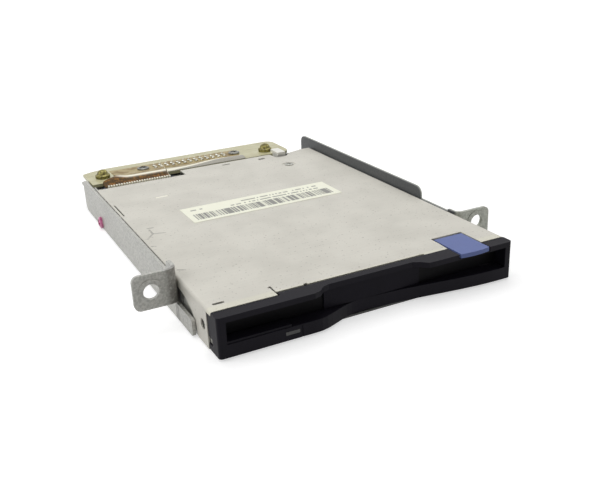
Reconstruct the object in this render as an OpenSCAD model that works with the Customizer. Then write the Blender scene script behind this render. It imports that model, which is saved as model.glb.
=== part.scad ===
// Slim 3.5 inch floppy disk drive with its mounting brackets and interposer board.
// X is to the right seen from the front, Y to the rear, Z up.
// The origin is the centre of the drive's underside.

/* [Drive body] */
// Width over the cover
body_w = 96; // [95:0.5:98]
// Length of the cover from its front edge to its rear edge
body_l = 126; // [125:0.5:130]
// Height from the underside to the top of the cover
body_h = 12.7; // [12.5:0.1:14]
// Thickness of the cover sheet
cover_t = 0.4; // [0.3:0.05:0.45]
// Thickness of the chassis sheet
chassis_t = 0.6; // [0.5:0.05:0.7]
// Bend radius along the cover's long edges
cover_bend_r = 1; // [0.6:0.1:1.5]
// Height of the cover's side skirt behind the front corner
skirt_h = 3; // [2:0.5:5]

/* [Bezel] */
// Width of the bezel
bezel_w = 95.6; // [95:0.2:96]
// How far the bezel stands in front of the cover
bezel_d = 4.2; // [4:0.2:6]
// Height of the bezel's lower edge above the underside
bezel_z = 0.7; // [0.7:0.1:1.2]
// Step from the top of the cover down to the top of the bezel
bezel_drop = 0.15; // [0.1:0.05:0.2]
// Width of the disk slot
slot_w = 90.8; // [90.6:0.1:91.2]
// Height of the slot's floor above the underside
slot_floor_z = 4.5; // [4.3:0.1:4.6]
// Height of the slot's upper edge above the underside
slot_top_z = 10.9; // [10.9:0.05:11]
// Depth of the finger scoop in the lower lip
scoop_d = 4.5; // [3:0.1:4.7]
// Depth of the finger recess in the upper lip
lip_recess = 3.1; // [2:0.1:3.2]

/* [Eject button] */
// Width of the button
button_w = 10.3; // [9:0.1:11]
// Length of the button
button_l = 13.8; // [13:0.1:14.5]
// Distance of the button's centre from the middle of the drive
button_x = 33.8; // [32:0.1:35]
// How far the button comes out when a disk is in
button_travel = 4.5; // [3.5:0.1:4.6]

/* [Disk and carrier] */
// Length of a disk
disk_l = 94; // [94:0.1:94.2]
// Thickness of a disk
disk_t = 3.3; // [3.2:0.05:3.3]
// How far the carrier lowers a disk onto the spindle
carrier_drop = 2; // [1.8:0.1:2]
// Thickness of the carrier and slider sheet
carrier_t = 0.4; // [0.3:0.05:0.4]

/* [Spindle] */
// Distance of the spindle from the cover's front edge
spindle_back = 46.5; // [46:0.5:47]
// Diameter of the rotor cup
rotor_d = 52; // [44:1:52]
// Diameter of the hub that carries the disk
hub_d = 27; // [24:0.5:28]
// Diameter of the spindle shaft
shaft_d = 4; // [3.5:0.1:4.2]

/* [Heads] */
// Radius of the outermost track
outer_track_r = 39.5; // [39:0.1:39.6]
// Travel of the head carriage
head_travel = 14.8; // [14:0.1:14.8]
// Angle by which the upper arm lowers onto a disk
arm_swing = 8.9; // [8:0.1:9]
// Diameter of the guide rod
rod_d = 2; // [1.8:0.1:2.2]
// Diameter of the lead screw
screw_d = 3; // [2.6:0.1:3]
// Diameter of the stepper motor
stepper_d = 10.6; // [9:0.2:10.8]

/* [Brackets] */
// Thickness of the bracket sheet
bracket_t = 1; // [0.8:0.1:1.2]
// Outer radius of the bend at an ear
ear_bend_r = 3; // [2.5:0.1:3.5]
// Distance from the side of the drive to an ear's outer edge
ear_l = 13.3; // [11:0.1:15]
// Distance of the ears' front faces behind the cover's front edge
ear_back = 23; // [20:0.5:26]
// Height of an ear
ear_h = 10.6; // [10:0.2:11.2]
// Height of the left ear's centre above the underside
left_ear_z = 11.4; // [11.2:0.1:12]
// Height of the right ear's centre above the underside
right_ear_z = 7.8; // [7.6:0.1:8.4]
// Diameter of the mounting hole in an ear
ear_hole_d = 4.6; // [4:0.1:5]
// Height by which the right bracket stands above the cover
right_rise = 3.6; // [2:0.2:4]

/* [Interposer board] */
// Width of the board
board_w = 86; // [84:0.5:88]
// Depth of the board from front to rear
board_d = 20.4; // [20:0.2:22]
// Thickness of the board
board_t = 1.2; // [1:0.1:1.6]
// Pitch of the header's pins
pin_pitch = 2.54; // [2.5:0.02:2.54]
// Pins in each row of the header
pin_columns = 13; // [10:1:13]
// Pitch of the flat cable's contacts
contact_pitch = 1; // [0.8:0.1:1]
// Contacts of the flat cable
contact_count = 26; // [20:1:26]

/* [Hidden] */
$fn = 48;
// Overrun of every cut past the face that it opens
cut = 0.5;
// Clearances: seated parts, sliding sheets, turning shafts (on the radius)
seat_gap = 0.1;
slide_gap = 0.3;
turn_gap = 0.05;
press_gap = 0.01;

// Planes of the body
front_y = -body_l/2;
rear_y = body_l/2;
half_w = body_w/2;
top_z = body_h;
under_cover_z = top_z - cover_t;
wall_gap = 0.2;
cover_in_x = half_w - cover_t;
chassis_out_x = cover_in_x - wall_gap;
chassis_in_x = chassis_out_x - chassis_t;
floor_z = chassis_t;

// Cover: cut-outs of the front edge, measured back from the front edge
cover_mid_back = 2.3;
cover_step_back = 1.6;
cover_bend_back = 5.9;
cover_bend_drop = 0.2;
cover_mid_left_x = -28.6;
cover_mid_step_x = 20;
cover_slit_w = 0.6;
cover_slit_l = 5.6;
cover_nick_x = -19.6;
cover_nick_w = 1.2;
cover_nick_l = 0.6;
button_gap = 0.5;
button_rear_gap = 1;
cover_slot_x = -44;
cover_slot_back = 3.4;
cover_slot_w = 3.4;
cover_slot_l = 1;
edge_slit_x = 47;
edge_slit_w = 0.5;
edge_slit_l = 13;
edge_slit_back = body_l - 35;
lance_x = -29;
lance_back = body_l - 28.8;
lance_w = 5;
lance_l = 0.6;
// Rear notches of the cover, measured forward from the rear edge
flex_notch_right_x = -12;
flex_notch_l = 6.7;
clip_notch_l = 5.7;
clip_notch_x = [28.2, 28.9, 33.4, 36.9, 42.6];
clip_notch_share = [0, 1, 1, 0.35, 0.05];
rear_slot_x = 7;
rear_slot_in = 3.6;
rear_slot_w = 3.4;
rear_slot_l = 0.9;
rear_hole_x = 22.7;
rear_hole_in = 4.9;
rear_hole_w = 3;
rear_hole_l = 1.6;
dimple_x = 28.75;
dimple_back = body_l - 17.8;
dimple_d = 5.4;
dimple_depth = 0.2;
cover_screw_d = 1.8;
cover_screw_head_d = 3.6;
cover_screw_head_h = 0.5;
cover_screw_l = 5;
// Side skirt of the cover at the front corner
skirt_front_back = 3;
skirt_arc_back = 11.3;
skirt_arc_l = 13.2;
skirt_z = top_z - skirt_h;
arc_steps = 24;
side_hole_back = 6.2;
side_hole_z = 6.65;
side_hole_d = 3.2;
side_hole_wall_d = 2.5;

// Label
label_w = 56.6;
label_l = 15.4;
label_back = 71.9;
label_t = 0.1;

// Bezel
bezel_front_y = front_y - bezel_d;
bezel_top_z = top_z - bezel_drop;
bezel_half = bezel_w/2;
bezel_corner_r = 1;
lip_back_y = front_y + 0.3;
lower_lip_back = 2.6;
bezel_back_y = front_y + lower_lip_back;
roof_t = 0.35;
bezel_cover_gap = 0.1;
cheek_in_x = slot_w/2;
cheek_back_x = bezel_half - 0.5;
wing_back = 2.9;
wall_front_back = 3.1;
chassis_wall_z = 12;
window_z = [2.5, 4.6];
window_front_back = 0.4;
ledge_right_x = -26.8;
ledge_h = 0.7;
ledge_front_in = 0.3;
ledge_back_in = 4;
// Hollows of the two lips: left end and its run, right end and its run, depth
scoop = [-19, 15, 44, 46, scoop_d];
recess = [-19, 4.7, 18, 4, lip_recess];
lip_steps = 48;
corner_steps = 5;
bezel_inner_half = bezel_half - bezel_corner_r;
notch_floor_z = 11.2;
lens_x = -26.6;
lens_w = 4.2;
lens_h = 1;
lens_z = 2.8;
lens_gap = 0.05;
groove_x = -23.9;
side_groove_w = 0.3;
side_groove_depth = 0.2;
lamp_l = 1.7;
lamp_w = 3;
lamp_h = 1.7;

// Dust door: the pivot lies behind the upper lip
door_pivot_back = 0.85;
door_pivot_z = 11.4;
door_pin_d = 0.8;
door_half = slot_w/2 - 0.3;
door_back_in = 0.15;
door_flap_t = 0.5;
door_panel_t = 0.5;
door_foot_gap = 0.2;
door_panel_x = [-14.8, 16.8];
door_panel_gap = 0.3;
door_pin_l = 1.1;
door_wire_d = 0.28;
door_wire_drop = 1.2;
door_wire_l = 20;
door_wire_leg = 2.2;
pivot_y = front_y + door_pivot_back;

// Eject slider and button
slider_out_x = chassis_in_x - slide_gap;
slider_in_x = slider_out_x - carrier_t;
slider_z = floor_z + 0.2;
slider_front_back = 11;
slider_l = 76;
slider_strip_w = 4.2;
slider_wall_top_z = 10.4;
slider_floor_top = slider_z + carrier_t;
tongue_t = 0.3;
tongue_z = under_cover_z - seat_gap - tongue_t;
tongue_rear_back = 18;
tongue_margin = 1;
tongue_under_button = 7;
button_lug_back = 4;
button_lug_l = 2;
button_top_z = top_z;
button_under_z = tongue_z + tongue_t;
button_rear_back = 9;
button_rear_y = front_y + button_rear_back;
button_front_y = button_rear_y - button_l;
button_lip_z = 11.4;
button_lip_l = 4.6;
button_corner_r = 0.8;
button_bow = 0.5;
spring_d = 2;
spring_back = 22;
spring_l = 14;
spring_x = 43.6;
spring_floor_gap = 0.1;
spring_tab_w = 1.6;
spring_tab_h = 2.2;

// Disk carrier
carrier_play = 0.15;
disk_up_z = slot_top_z - 2*carrier_play - disk_t + 0.1;
carrier_out_x = slider_in_x - slide_gap;
carrier_in_x = carrier_out_x - carrier_t;
carrier_foot_z = disk_up_z - carrier_play;
carrier_roof_z = disk_up_z + disk_t + carrier_play;
carrier_front_back = 9.6;
carrier_rear_back = 94.2;
carrier_flange_w = 4;
head_window_w = 11;
head_window_l = 30;
carrier_stop_x = 30;
carrier_stop_up = 1;
cam_pin_d = 1.6;
cam_pin_back = [24, 78];
cam_pin_z = carrier_foot_z + 1;
cam_slot_gap = 0.15;
carrier_hole_d = 18;

// Shutter lever on the carrier
lever_x = 36;
lever_back = 88;
lever_len = 30;
lever_angle = 60;
lever_swing = 50;
lever_end = 3;
lever_steps = 12;
lever_w = 3;
lever_t = 0.4;
lever_gap = 0.2;
lever_z = carrier_roof_z + carrier_t + lever_gap;
lever_boss_d = 6;
lever_pin_d = 1.6;
lever_pin_l = 2.6;
lever_slot_gap = 0.4;
rivet_d = 2.4;
rivet_head_d = 4.2;
rivet_head_t = 0.25;
rivet_shoulder_d = 3.4;
lever_wire_d = 0.3;
lever_ring_r = 2.6;
lever_leg_l = 9;

// Spindle motor
spindle_y = front_y + spindle_back;
motor_board_t = 0.5;
motor_board_top = floor_z + motor_board_t;
motor_board_r = 27.4;
motor_board_front_back = 4.2;
motor_board_front_w = 83;
motor_board_front_l = 8.6;
motor_board_neck_w = 40;
motor_window_d = 30;
rotor_rim_z = motor_board_top + 0.4;
rotor_top_z = 3.9;
rotor_t = 0.6;
rotor_wall_t = 0.8;
magnet_t = 0.6;
magnet_in_r = 11;
magnet_margin = 4;
magnet_out_r = rotor_d/2 - magnet_margin;
hub_top_z = 5.4;
spindle_tip_z = 6.8;
drive_pin_d = 3;
drive_pin_r = 9.6;
drive_pin_z = 6.2;
drive_pin_travel = 0.7;
bearing_d = 8;
bearing_z = 0.2;
bearing_floor_t = 0.3;
bearing_flange_d = 12;
bearing_flange_t = 0.4;
bearing_top_z = 3;
coil_count = 12;
coil_r = 16.6;
coil_d = 7.4;
coil_hole_d = 2.6;
coil_top_z = 2.5;

// Head carriage, at rest over the outermost track
head_y = spindle_y + outer_track_r;
rod_x = -9.5;
rod_z = 3.3;
rod_back = [76.4, 114.6];
sleeve_d = 4.2;
sleeve_back = [95.4, 108.2];
bed_z = [4.3, 5.1];
bed_x = [-11.6, 2.2];
lower_arm_w = 8;
lower_arm_ahead = 4;
head_face_z = 6.9;
head_w = 4.4;
head_l = 3.6;
disk_stand = 0.7;
tower_front = disk_l - disk_stand + head_travel + 0.4;
tower_l = 4;
tower_back = [tower_front, tower_front + tower_l];
tower_z = 7.4;
pivot_ear_w = 1.6;
arm_pivot_back = 111.1;
arm_knee_back = 104.2;
arm_roof_z = 11.9;
arm_coil_w = 1.4;
arm_pivot_z = 8.8;
arm_pin_d = 1.2;
arm_t = 0.3;
arm_boss_d = 2.4;
arm_w = 7;
arm_root_w = 7.2;
arm_ahead = 1.6;
upper_head_t = 0.92;
needle_d = 0.8;
tower_x = arm_root_w/2 + seat_gap + pivot_ear_w;
arm_y = front_y + arm_pivot_back;
needle_y = arm_y;
needle_tip_z = 4.95;
needle_arm_z = [3, 4];
flag_t = 0.8;
flag_rear_back = 117;

// Stepper motor and lead screw
stepper_x = 9.2;
stepper_z = 6.2;
stepper_back = [113.5, 124.6];
stepper_flange_t = 0.6;
stepper_boss_d = 4;
stepper_boss_l = 0.6;
screw_ear_back = [94.3, 94.8];
screw_ear_w = 6.8;
screw_ear_z = 7.8;
screw_pivot_d = 1.4;
screw_neck_d = 2;
screw_back = [95.2, 112.2];
screw_neck_l = 2.6;
screw_lead = 3;
screw_slices = 8;
groove_w = 1.3;
groove_depth = 0.35;
groove_steps = 12;
sensor_x = -2.4;
sensor_back = [115.2, 118.2];
sensor_w = 5;
sensor_h = 5.2;
sensor_gap_w = 1.6;
clamp_w = 5.4;
clamp_l = 2.6;
clamp_t = 1.1;
cable_in = 0.6;
cable_w = 2.6;
cable_t = 0.25;
cable_left_x = -22;
cable_top_z = 8.8;
cable_end_x = -15;

// Controller board, over the rear left of the chassis
control_z = 9.2;
control_t = 0.8;
control_x = [-46, -14];
control_back = [body_l - 30.4, body_l - 1.2];
control_post_d = 4;
control_post_x = [-42.6, -26];
control_post_back = [body_l - 28, body_l - 10];
control_screw_d = 1.8;
control_screw_head_d = 3.4;
control_screw_head_h = 0.8;
control_screw_l = 3;
chip_t = 1.4;
chip_big = 11;
chip_small = 6;
// Places of the chips on the board as shares of its width and depth
chip_share = [[0.36, 0.30], [0.70, 0.34]];
part_share = [[0.12, 0.44], [0.20, 0.62], [0.36, 0.66], [0.52, 0.70], [0.68, 0.66], [0.84, 0.60]];
part_size = [1.6, 0.9, 0.6];

// Disk switches on the motor board
switch_xs = [-39, 33, 39];
switch_back = 8.4;
switch_size = [4, 4.4, 2.6];
switch_floor_t = 0.3;
plunger_d = 1.4;
plunger_z = 5.3;
plunger_travel = 0.8;

// Flat cable connector and cable
connector_x = -30.35;
connector_w = 28.4;
connector_back = [body_l - 6.2, body_l - 1.3];
connector_z = 12;
connector_slope_l = 1.4;
connector_slope_h = 0.7;
flex_wall_z = 10.9;
contact_w = 0.5;
contact_t = 0.15;
contact_l = 1.6;
contact_back = body_l - 6;
flex_t = 0.2;
flex_tail_w = 26.6;
flex_body_left_x = -37.2;
flex_body_right_x = 17.6;
flex_start_back = body_l - 4.2;
flex_rise_back = body_l - 2.8;
flex_flat_back = body_l + 16.2;
flex_land_back = body_l + 9.2;
flex_narrow_back = body_l + 4.4;
flex_crest_h = 1.5;
flex_steps = 14;
flex_edge_lift = 0.35;
flex_edge_back = body_l + 1.4;
flex_edge_flat_back = body_l + 7;
flex_hole_d = 1.3;

// Interposer board
board_front_gap = 0.9;
board_x0 = -47.5;
board_front_y = rear_y + board_front_gap;
board_rear_y = board_front_y + board_d;
board_z = top_z - board_t;
board_right_r = 3.6;
board_left_cut_x = 10;
board_left_cut_y = 3.6;
board_left_mid_share = 0.42;
board_left_rise = 0.3;
board_screw_x = [-41.5, 29.3];
board_screw_in = [8.0, 5.9];
board_screw_d = 2.9;
board_screw_head_d = 5.8;
board_screw_head_h = 2.1;
board_screw_l = 6;
header_x = -3.9;
header_row_in = [8.9, 11.44];
header_w = 36;
header_h = 7.4;
header_socket_l = 8.4;
header_wall_t = 1;
header_ear_w = 47;
header_ear_l = 5.4;
header_ear_h = 2.2;
header_screw_xs = [-24.2, 16.4];
header_screw_in = 10.2;
header_screw_d = 2.4;
header_screw_head_d = 4.8;
header_screw_head_h = 1;
header_screw_l = 3.4;
pin_w = 0.64;
pin_top_h = 1;
pin_hole_d = 1;
key_w = 4.2;
clip_x = [30.1, 33.7];
clip_front_in = 4.4;
clip_rise = 1.5;
clip_foot_z = 9.1;
clip_jaw_t = 1.5;
clip_gap = 0.4;
clip_jaw_l = 1.8;

// Brackets
bracket_in_x = half_w + 0.2;
bracket_out_x = bracket_in_x + bracket_t;
ear_reach = bracket_in_x + ear_l;
ear_hole_x = middle([bracket_in_x + ear_bend_r, ear_reach]);
bracket_foot_z = 0.3;
left_rear_back = body_l + 11;
right_rear_back = body_l + 9;
right_step_back = 44;
right_low_drop = 0.4;
right_hole_rise = 0.9;
ear_y = front_y + ear_back;
ear_corner_r = 2;
ear_lip_back = 31;
ear_lip_r = 2;
rail_front_back = 12;
rail_top_z = 5.5;
rail_corner_r = 1;
plate_corner_r = 3;
ring_d = 7.4;
ring_h = 0.25;
side_screw_back = body_l - 14.7;
side_screw_z = 2.5;
side_screw_d = 2.4;
side_screw_head_d = 4.4;
side_screw_head_h = 1.4;
side_screw_l = 3.6;
side_pad_d = 4.4;
side_pad_back = 44;
bar_back = [body_l + 1.6, body_l + 19];
bar_t = 1;
bar_ear_h = 6;
bar_post_d = 5.6;
bar_window_w = 50;
bar_window_l = 10;
bar_z = 8.4;
bar_narrow_back = body_l + 7;
bar_wide_x = 36;
ground_in_share = 0.1;

// Cross recess of the screws, as shares of the head
recess_share = 0.62;
recess_slot_share = 0.2;
recess_depth_share = 0.5;
dome_share = 0.45;

// Smooth step from 0 to 1
function ease(t) = let (c = min(1, max(0, t))) c*c*(3 - 2*c);
// A distance behind the cover's front edge as a place on Y
function back(d) = front_y + d;
function span(pair) = pair[1] - pair[0];
function middle(pair) = (pair[0] + pair[1])/2;
function around(centre, width) = [centre - width/2, centre + width/2];
function past(pair) = [pair[0] - cut, pair[1] + cut];
function backs(pair) = [back(pair[0]), back(pair[1])];

// Box between two places on each axis
module block(x, y, z) {
  translate([x[0], y[0], z[0]])
    cube([span(x), span(y), span(z)]);
}

// Extrudes a profile drawn in Y and Z along X
module along_x(x) {
  translate([x[0], 0, 0])
    rotate([90, 0, 90])
      linear_extrude(span(x))
        children();
}

// Extrudes a profile drawn in X and Z along Y
module along_y(y) {
  translate([0, y[1], 0])
    rotate([90, 0, 0])
      linear_extrude(span(y))
        children();
}

// Both sides of the drive
module both_sides() {
  for (side = [0, 1])
    mirror([side, 0, 0])
      children();
}

// Round bar along X, and along Y
module rod_along_x(d, x) {
  translate([x[0], 0, 0])
    rotate([0, 90, 0])
      cylinder(d = d, h = span(x));
}

module rod_along_y(d, y) {
  translate([0, y[0], 0])
    rotate([-90, 0, 0])
      cylinder(d = d, h = span(y));
}

// Rectangle between two corners with round corners
module round_rect(x, y, r) {
  translate([x[0] + r, y[0]])
    square([span(x) - 2*r, span(y)]);
  translate([x[0], y[0] + r])
    square([span(x), span(y) - 2*r]);
  for (px = [x[0] + r, x[1] - r], py = [y[0] + r, y[1] - r])
    translate([px, py])
      circle(r = r);
}

// Pan head screw that stands on z = 0, with its shank below
module pan_screw(head_d, head_h, shank_d, shank_l) {
  dome = head_h*dome_share;
  dome_r = (head_d*head_d/4 + dome*dome)/(2*dome);
  difference() {
    intersection() {
      cylinder(d = head_d, h = head_h);
      translate([0, 0, head_h - dome_r])
        sphere(r = dome_r, $fn = 64);
    }
    for (turn = [0, 90])
      rotate([0, 0, turn])
        translate([-head_d*recess_share/2, -head_d*recess_slot_share/2,
                   head_h*(1 - recess_depth_share)])
          cube([head_d*recess_share, head_d*recess_slot_share, head_h]);
  }
  translate([0, 0, -shank_l])
    cylinder(d = shank_d, h = shank_l);
}

// Points of an arc about c, from one angle to another
function arc(c, r, from, to) =
  [for (i = [0:corner_steps]) let (a = from + (to - from)*i/corner_steps) c + r*[cos(a), sin(a)]];
// Front of a lip at a place across the bezel, and its outline from side to side
function front_at(x, hollow) = bezel_front_y + hollow[4]*min(ease((x - hollow[0])/hollow[1]),
                                                             ease((hollow[2] - x)/hollow[3]));
function across(i) = bezel_inner_half*(2*i/lip_steps - 1);
function front_line(hollow) = concat(
    arc([-bezel_inner_half, bezel_front_y + bezel_corner_r], bezel_corner_r, 180, 270),
    [for (i = [1:lip_steps - 1]) [across(i), front_at(across(i), hollow)]],
    arc([bezel_inner_half, bezel_front_y + bezel_corner_r], bezel_corner_r, 270, 360));

module bezel() {
  seam_y = front_y - bezel_cover_gap;
  button = [button_x - button_w/2 - button_gap, button_x + button_w/2 + button_gap];
  color("#17171c")
  difference() {
    union() {
      // Lower lip
      translate([0, 0, bezel_z])
        linear_extrude(slot_floor_z - bezel_z)
          polygon(concat(front_line(scoop),
              [[bezel_half, seam_y], [cheek_back_x, seam_y], [cheek_back_x, bezel_back_y],
               [-cheek_back_x, bezel_back_y], [-cheek_back_x, seam_y], [-bezel_half, seam_y]]));
      // Ledge along the left of the slot floor
      block([-cheek_in_x, ledge_right_x],
            [bezel_front_y + ledge_front_in, bezel_front_y + ledge_back_in],
            [slot_floor_z, slot_floor_z + ledge_h]);
      // Upper lip, and the thin roof behind it
      translate([0, 0, slot_top_z])
        linear_extrude(bezel_top_z - slot_top_z)
          polygon(concat(front_line(recess), [[bezel_half, seam_y], [-bezel_half, seam_y]]));
      block([-cheek_back_x, cheek_back_x], [seam_y - cut, lip_back_y],
            [slot_top_z, bezel_top_z - roof_t - seat_gap]);
      block([cover_mid_left_x + cover_slit_w, button[0]],
            [seam_y - cut, back(cover_step_back) - bezel_cover_gap],
            [bezel_top_z - roof_t, bezel_top_z]);
      // Cheeks at both ends, and the wings that hold on the chassis
      both_sides() {
        translate([0, 0, slot_floor_z])
          linear_extrude(slot_top_z - slot_floor_z)
            polygon(concat([[cheek_in_x, seam_y], [cheek_in_x, bezel_front_y]],
                arc([bezel_inner_half, bezel_front_y + bezel_corner_r], bezel_corner_r, 270, 360),
                [[bezel_half, seam_y]]));
        block([cheek_in_x, cheek_back_x], [seam_y - cut, bezel_back_y],
              [slot_floor_z, bezel_top_z - roof_t - seat_gap]);
        block([cheek_back_x - cut, bezel_half], [seam_y - cut, back(wing_back)],
              [bezel_z, top_z - cover_bend_r - seat_gap]);
      }
    }
    // Windows of the wings
    both_sides()
      block([cheek_back_x - cut, bezel_half + cut], backs([window_front_back, wing_back + cut]),
            window_z);
    // Notch for the eject button, and the pivots of the dust door
    block(button, [bezel_front_y - cut, back(cover_mid_back)], [notch_floor_z, top_z]);
    translate([0, pivot_y, door_pivot_z])
      rod_along_x(door_pin_d + 2*turn_gap,
                  [-door_half - door_pin_l - seat_gap, door_half + door_pin_l + seat_gap]);
    // Hole for the light pipe and the groove beside it
    block([lens_x - lens_w/2 - lens_gap, lens_x + lens_w/2 + lens_gap],
          [bezel_front_y - cut, bezel_back_y + cut],
          [lens_z - lens_h/2 - lens_gap, lens_z + lens_h/2 + lens_gap]);
    block([groove_x, groove_x + side_groove_w], [bezel_front_y - cut, bezel_front_y + side_groove_depth],
          [bezel_z - cut, slot_floor_z - side_groove_w]);
  }
}

module light_pipe() {
  color("#5a6b52")
  block(around(lens_x, lens_w), [bezel_front_y, bezel_back_y],
        around(lens_z, lens_h));
}

// The door hangs from its pivot pins; its origin here is the pivot line
module dust_door() {
  foot = slot_floor_z + door_foot_gap - door_pivot_z;
  front = door_back_in - door_flap_t;
  color("#1b1b20")
  translate([0, pivot_y, door_pivot_z])
    difference() {
      union() {
        block([-door_half, door_half], [front, door_back_in], [foot, door_back_in]);
        block(door_panel_x, [front - door_panel_t, front],
              [foot, slot_top_z - door_panel_gap - door_pivot_z]);
        rod_along_x(door_pin_d, [-door_half - door_pin_l, door_half + door_pin_l]);
      }
      // Groove for the wire spring, open to the rear
      block([-door_half - cut, -door_half + door_wire_l + seat_gap],
            [-door_wire_d/2 - turn_gap, door_back_in + cut],
            [-door_wire_drop - door_wire_d/2 - turn_gap, -door_wire_drop + door_wire_d/2 + turn_gap]);
      block([-door_half + door_wire_l - door_wire_d - turn_gap, -door_half + door_wire_l + seat_gap],
            [-door_wire_d/2 - turn_gap, door_back_in + cut],
            [-door_wire_drop - door_wire_leg - turn_gap, -door_wire_drop]);
    }
}

// Torsion wire in the back of the door
module door_spring() {
  color("silver")
  translate([0, pivot_y, door_pivot_z - door_wire_drop]) {
    rod_along_x(door_wire_d, [-door_half + seat_gap, -door_half + door_wire_l - door_wire_d/2]);
    translate([-door_half + door_wire_l - door_wire_d/2, 0, -door_wire_leg])
      cylinder(d = door_wire_d, h = door_wire_leg + door_wire_d/2);
  }
}

// Front margin strip of the cover, bent down a little towards the bezel
module front_strip(x, strip_back) {
  share = (cover_bend_back - strip_back)/(cover_bend_back - cover_mid_back);
  drop = cover_bend_drop*share;
  along_x(x)
    polygon([[back(cover_bend_back), under_cover_z], [back(cover_bend_back), top_z],
             [back(strip_back), top_z - drop], [back(strip_back), under_cover_z - drop]]);
}

// Profile of the cover across the drive
module cover_profile(inset) {
  edge = half_w - inset;
  crown = top_z - inset;
  r = cover_bend_r - inset;
  translate([-edge, floor_z])
    square([2*edge, crown - r - floor_z]);
  translate([-edge + r, floor_z])
    square([2*(edge - r), crown - floor_z]);
  for (side = [-1, 1])
    translate([side*(edge - r), crown - r])
      circle(r = r);
}

// Quarter ellipse behind the front corner of the skirt, drawn in Y and Z
module skirt_arc(share) {
  end = back(skirt_arc_back + skirt_arc_l);
  polygon(concat(
      [[end + cut, floor_z - cut]],
      [for (i = [0:arc_steps]) let (a = i*90/arc_steps)
          [end - skirt_arc_l*share*cos(a), floor_z - (i == 0 ? cut : 0) + (skirt_z - floor_z)*share*sin(a)]],
      [[end + cut, floor_z + (skirt_z - floor_z)*share]]));
}

module top_cover() {
  button_lo = button_x - button_w/2 - button_gap;
  button_hi = button_x + button_w/2 + button_gap;
  color("#cfcdc2")
  difference() {
    union() {
      difference() {
        along_y([front_y, rear_y])
          difference() {
            cover_profile(0);
            cover_profile(cover_t);
            translate([-cover_in_x, 0])
              square([2*cover_in_x, top_z/2]);
          }
        // Front margin between the slit and the button
        block([cover_mid_left_x, button_lo + cut], [front_y - cut, back(cover_bend_back)],
              [top_z/2, top_z + cut]);
      }
      front_strip([cover_mid_left_x + cover_slit_w, cover_mid_step_x], cover_mid_back);
      front_strip([cover_mid_step_x, button_lo], cover_step_back);
      // Seat of the cover screw, pressed in
      translate([dimple_x, back(dimple_back), under_cover_z - dimple_depth])
        cylinder(d = dimple_d + 2*cover_t, h = cover_t);
    }
    // Slit beside the front strip, nick and button opening
    block([cover_mid_left_x - cut, cover_mid_left_x + cover_slit_w],
          [back(cover_slit_l) - cover_slit_w, back(cover_slit_l)], [top_z/2, top_z + cut]);
    block([cover_nick_x, cover_nick_x + cover_nick_w],
          [front_y, back(cover_mid_back) + cover_nick_l], [top_z/2, top_z + cut]);
    block([button_lo, button_hi], [front_y - cut, button_rear_y + button_rear_gap],
          [top_z/2, top_z + cut]);
    // Skirt: kept whole at the front corner, then raised along an arc
    both_sides() {
      skin = past([cover_in_x, half_w]);
      block(skin, [front_y - cut, back(skirt_front_back)], [floor_z - cut, top_z - cover_bend_r]);
      block(skin, [back(skirt_arc_back + skirt_arc_l), rear_y + cut], [floor_z - cut, skirt_z]);
      along_x(skin)
        skirt_arc(1);
      // Side fixing hole
      translate([0, back(side_hole_back), side_hole_z])
        rod_along_x(side_hole_d, skin);
    }
    // Small openings in the top
    translate([0, 0, under_cover_z - cut])
      linear_extrude(cover_t + 2*cut) {
        round_rect(around(cover_slot_x, cover_slot_w),
                   [back(cover_slot_back), back(cover_slot_back) + cover_slot_l],
                   cover_slot_l*0.4);
        translate([-edge_slit_x, back(edge_slit_back) - edge_slit_l/2])
          square([edge_slit_w, edge_slit_l]);
        translate([lance_x - lance_w/2, back(lance_back)])
          square([lance_w, lance_l]);
        round_rect(around(rear_slot_x, rear_slot_w),
                   [rear_y - rear_slot_in, rear_y - rear_slot_in + rear_slot_l],
                   rear_slot_l*0.4);
        round_rect(around(rear_hole_x, rear_hole_w),
                   [rear_y - rear_hole_in, rear_y - rear_hole_in + rear_hole_l],
                   rear_hole_l*0.4);
        polygon(concat(
            [for (i = [0:len(clip_notch_x) - 1])
                [clip_notch_x[i], rear_y - clip_notch_l*clip_notch_share[i]]],
            [[clip_notch_x[4], rear_y + cut], [clip_notch_x[0], rear_y + cut]]));
        translate([-half_w - cut, rear_y - flex_notch_l])
          square([half_w + cut + flex_notch_right_x, flex_notch_l + cut]);
      }
    // Screw seat: the dish and its hole
    translate([dimple_x, back(dimple_back), top_z - dimple_depth])
      cylinder(d = dimple_d, h = dimple_depth + cut);
    translate([dimple_x, back(dimple_back), under_cover_z - dimple_depth - cut])
      cylinder(d = cover_screw_d + 2*turn_gap, h = cover_t + 2*cut);
  }
}

module cover_screw() {
  color("#b9b9b2")
  translate([dimple_x, back(dimple_back), top_z - dimple_depth])
    pan_screw(cover_screw_head_d, cover_screw_head_h, cover_screw_d, cover_screw_l);
}

module cover_label() {
  color("#f4f5f3")
  translate([0, 0, top_z])
    linear_extrude(label_t)
      translate([-label_w/2, back(label_back) - label_l/2])
        square([label_w, label_l]);
}

// Slot between two points for a round pin of diameter d, in a plane
module slot_plan(p, q, d) {
  run = sqrt((q[0] - p[0])^2 + (q[1] - p[1])^2);
  side = [(p[1] - q[1])*d/(2*run), (q[0] - p[0])*d/(2*run)];
  translate(p)
    circle(d = d);
  translate(q)
    circle(d = d);
  polygon([p + side, q + side, q - side, p - side]);
}

// Places where what is drawn repeats
module at_posts(z) {
  for (x = control_post_x, y = control_post_back)
    translate([x, back(y), z])
      children();
}

module at_board_screws(z) {
  for (i = [0, 1])
    translate([board_screw_x[i], board_front_y + board_screw_in[i], z])
      children();
}

module at_header_screws(z) {
  for (x = header_screw_xs)
    translate([x, board_front_y + header_screw_in, z])
      children();
}

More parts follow.
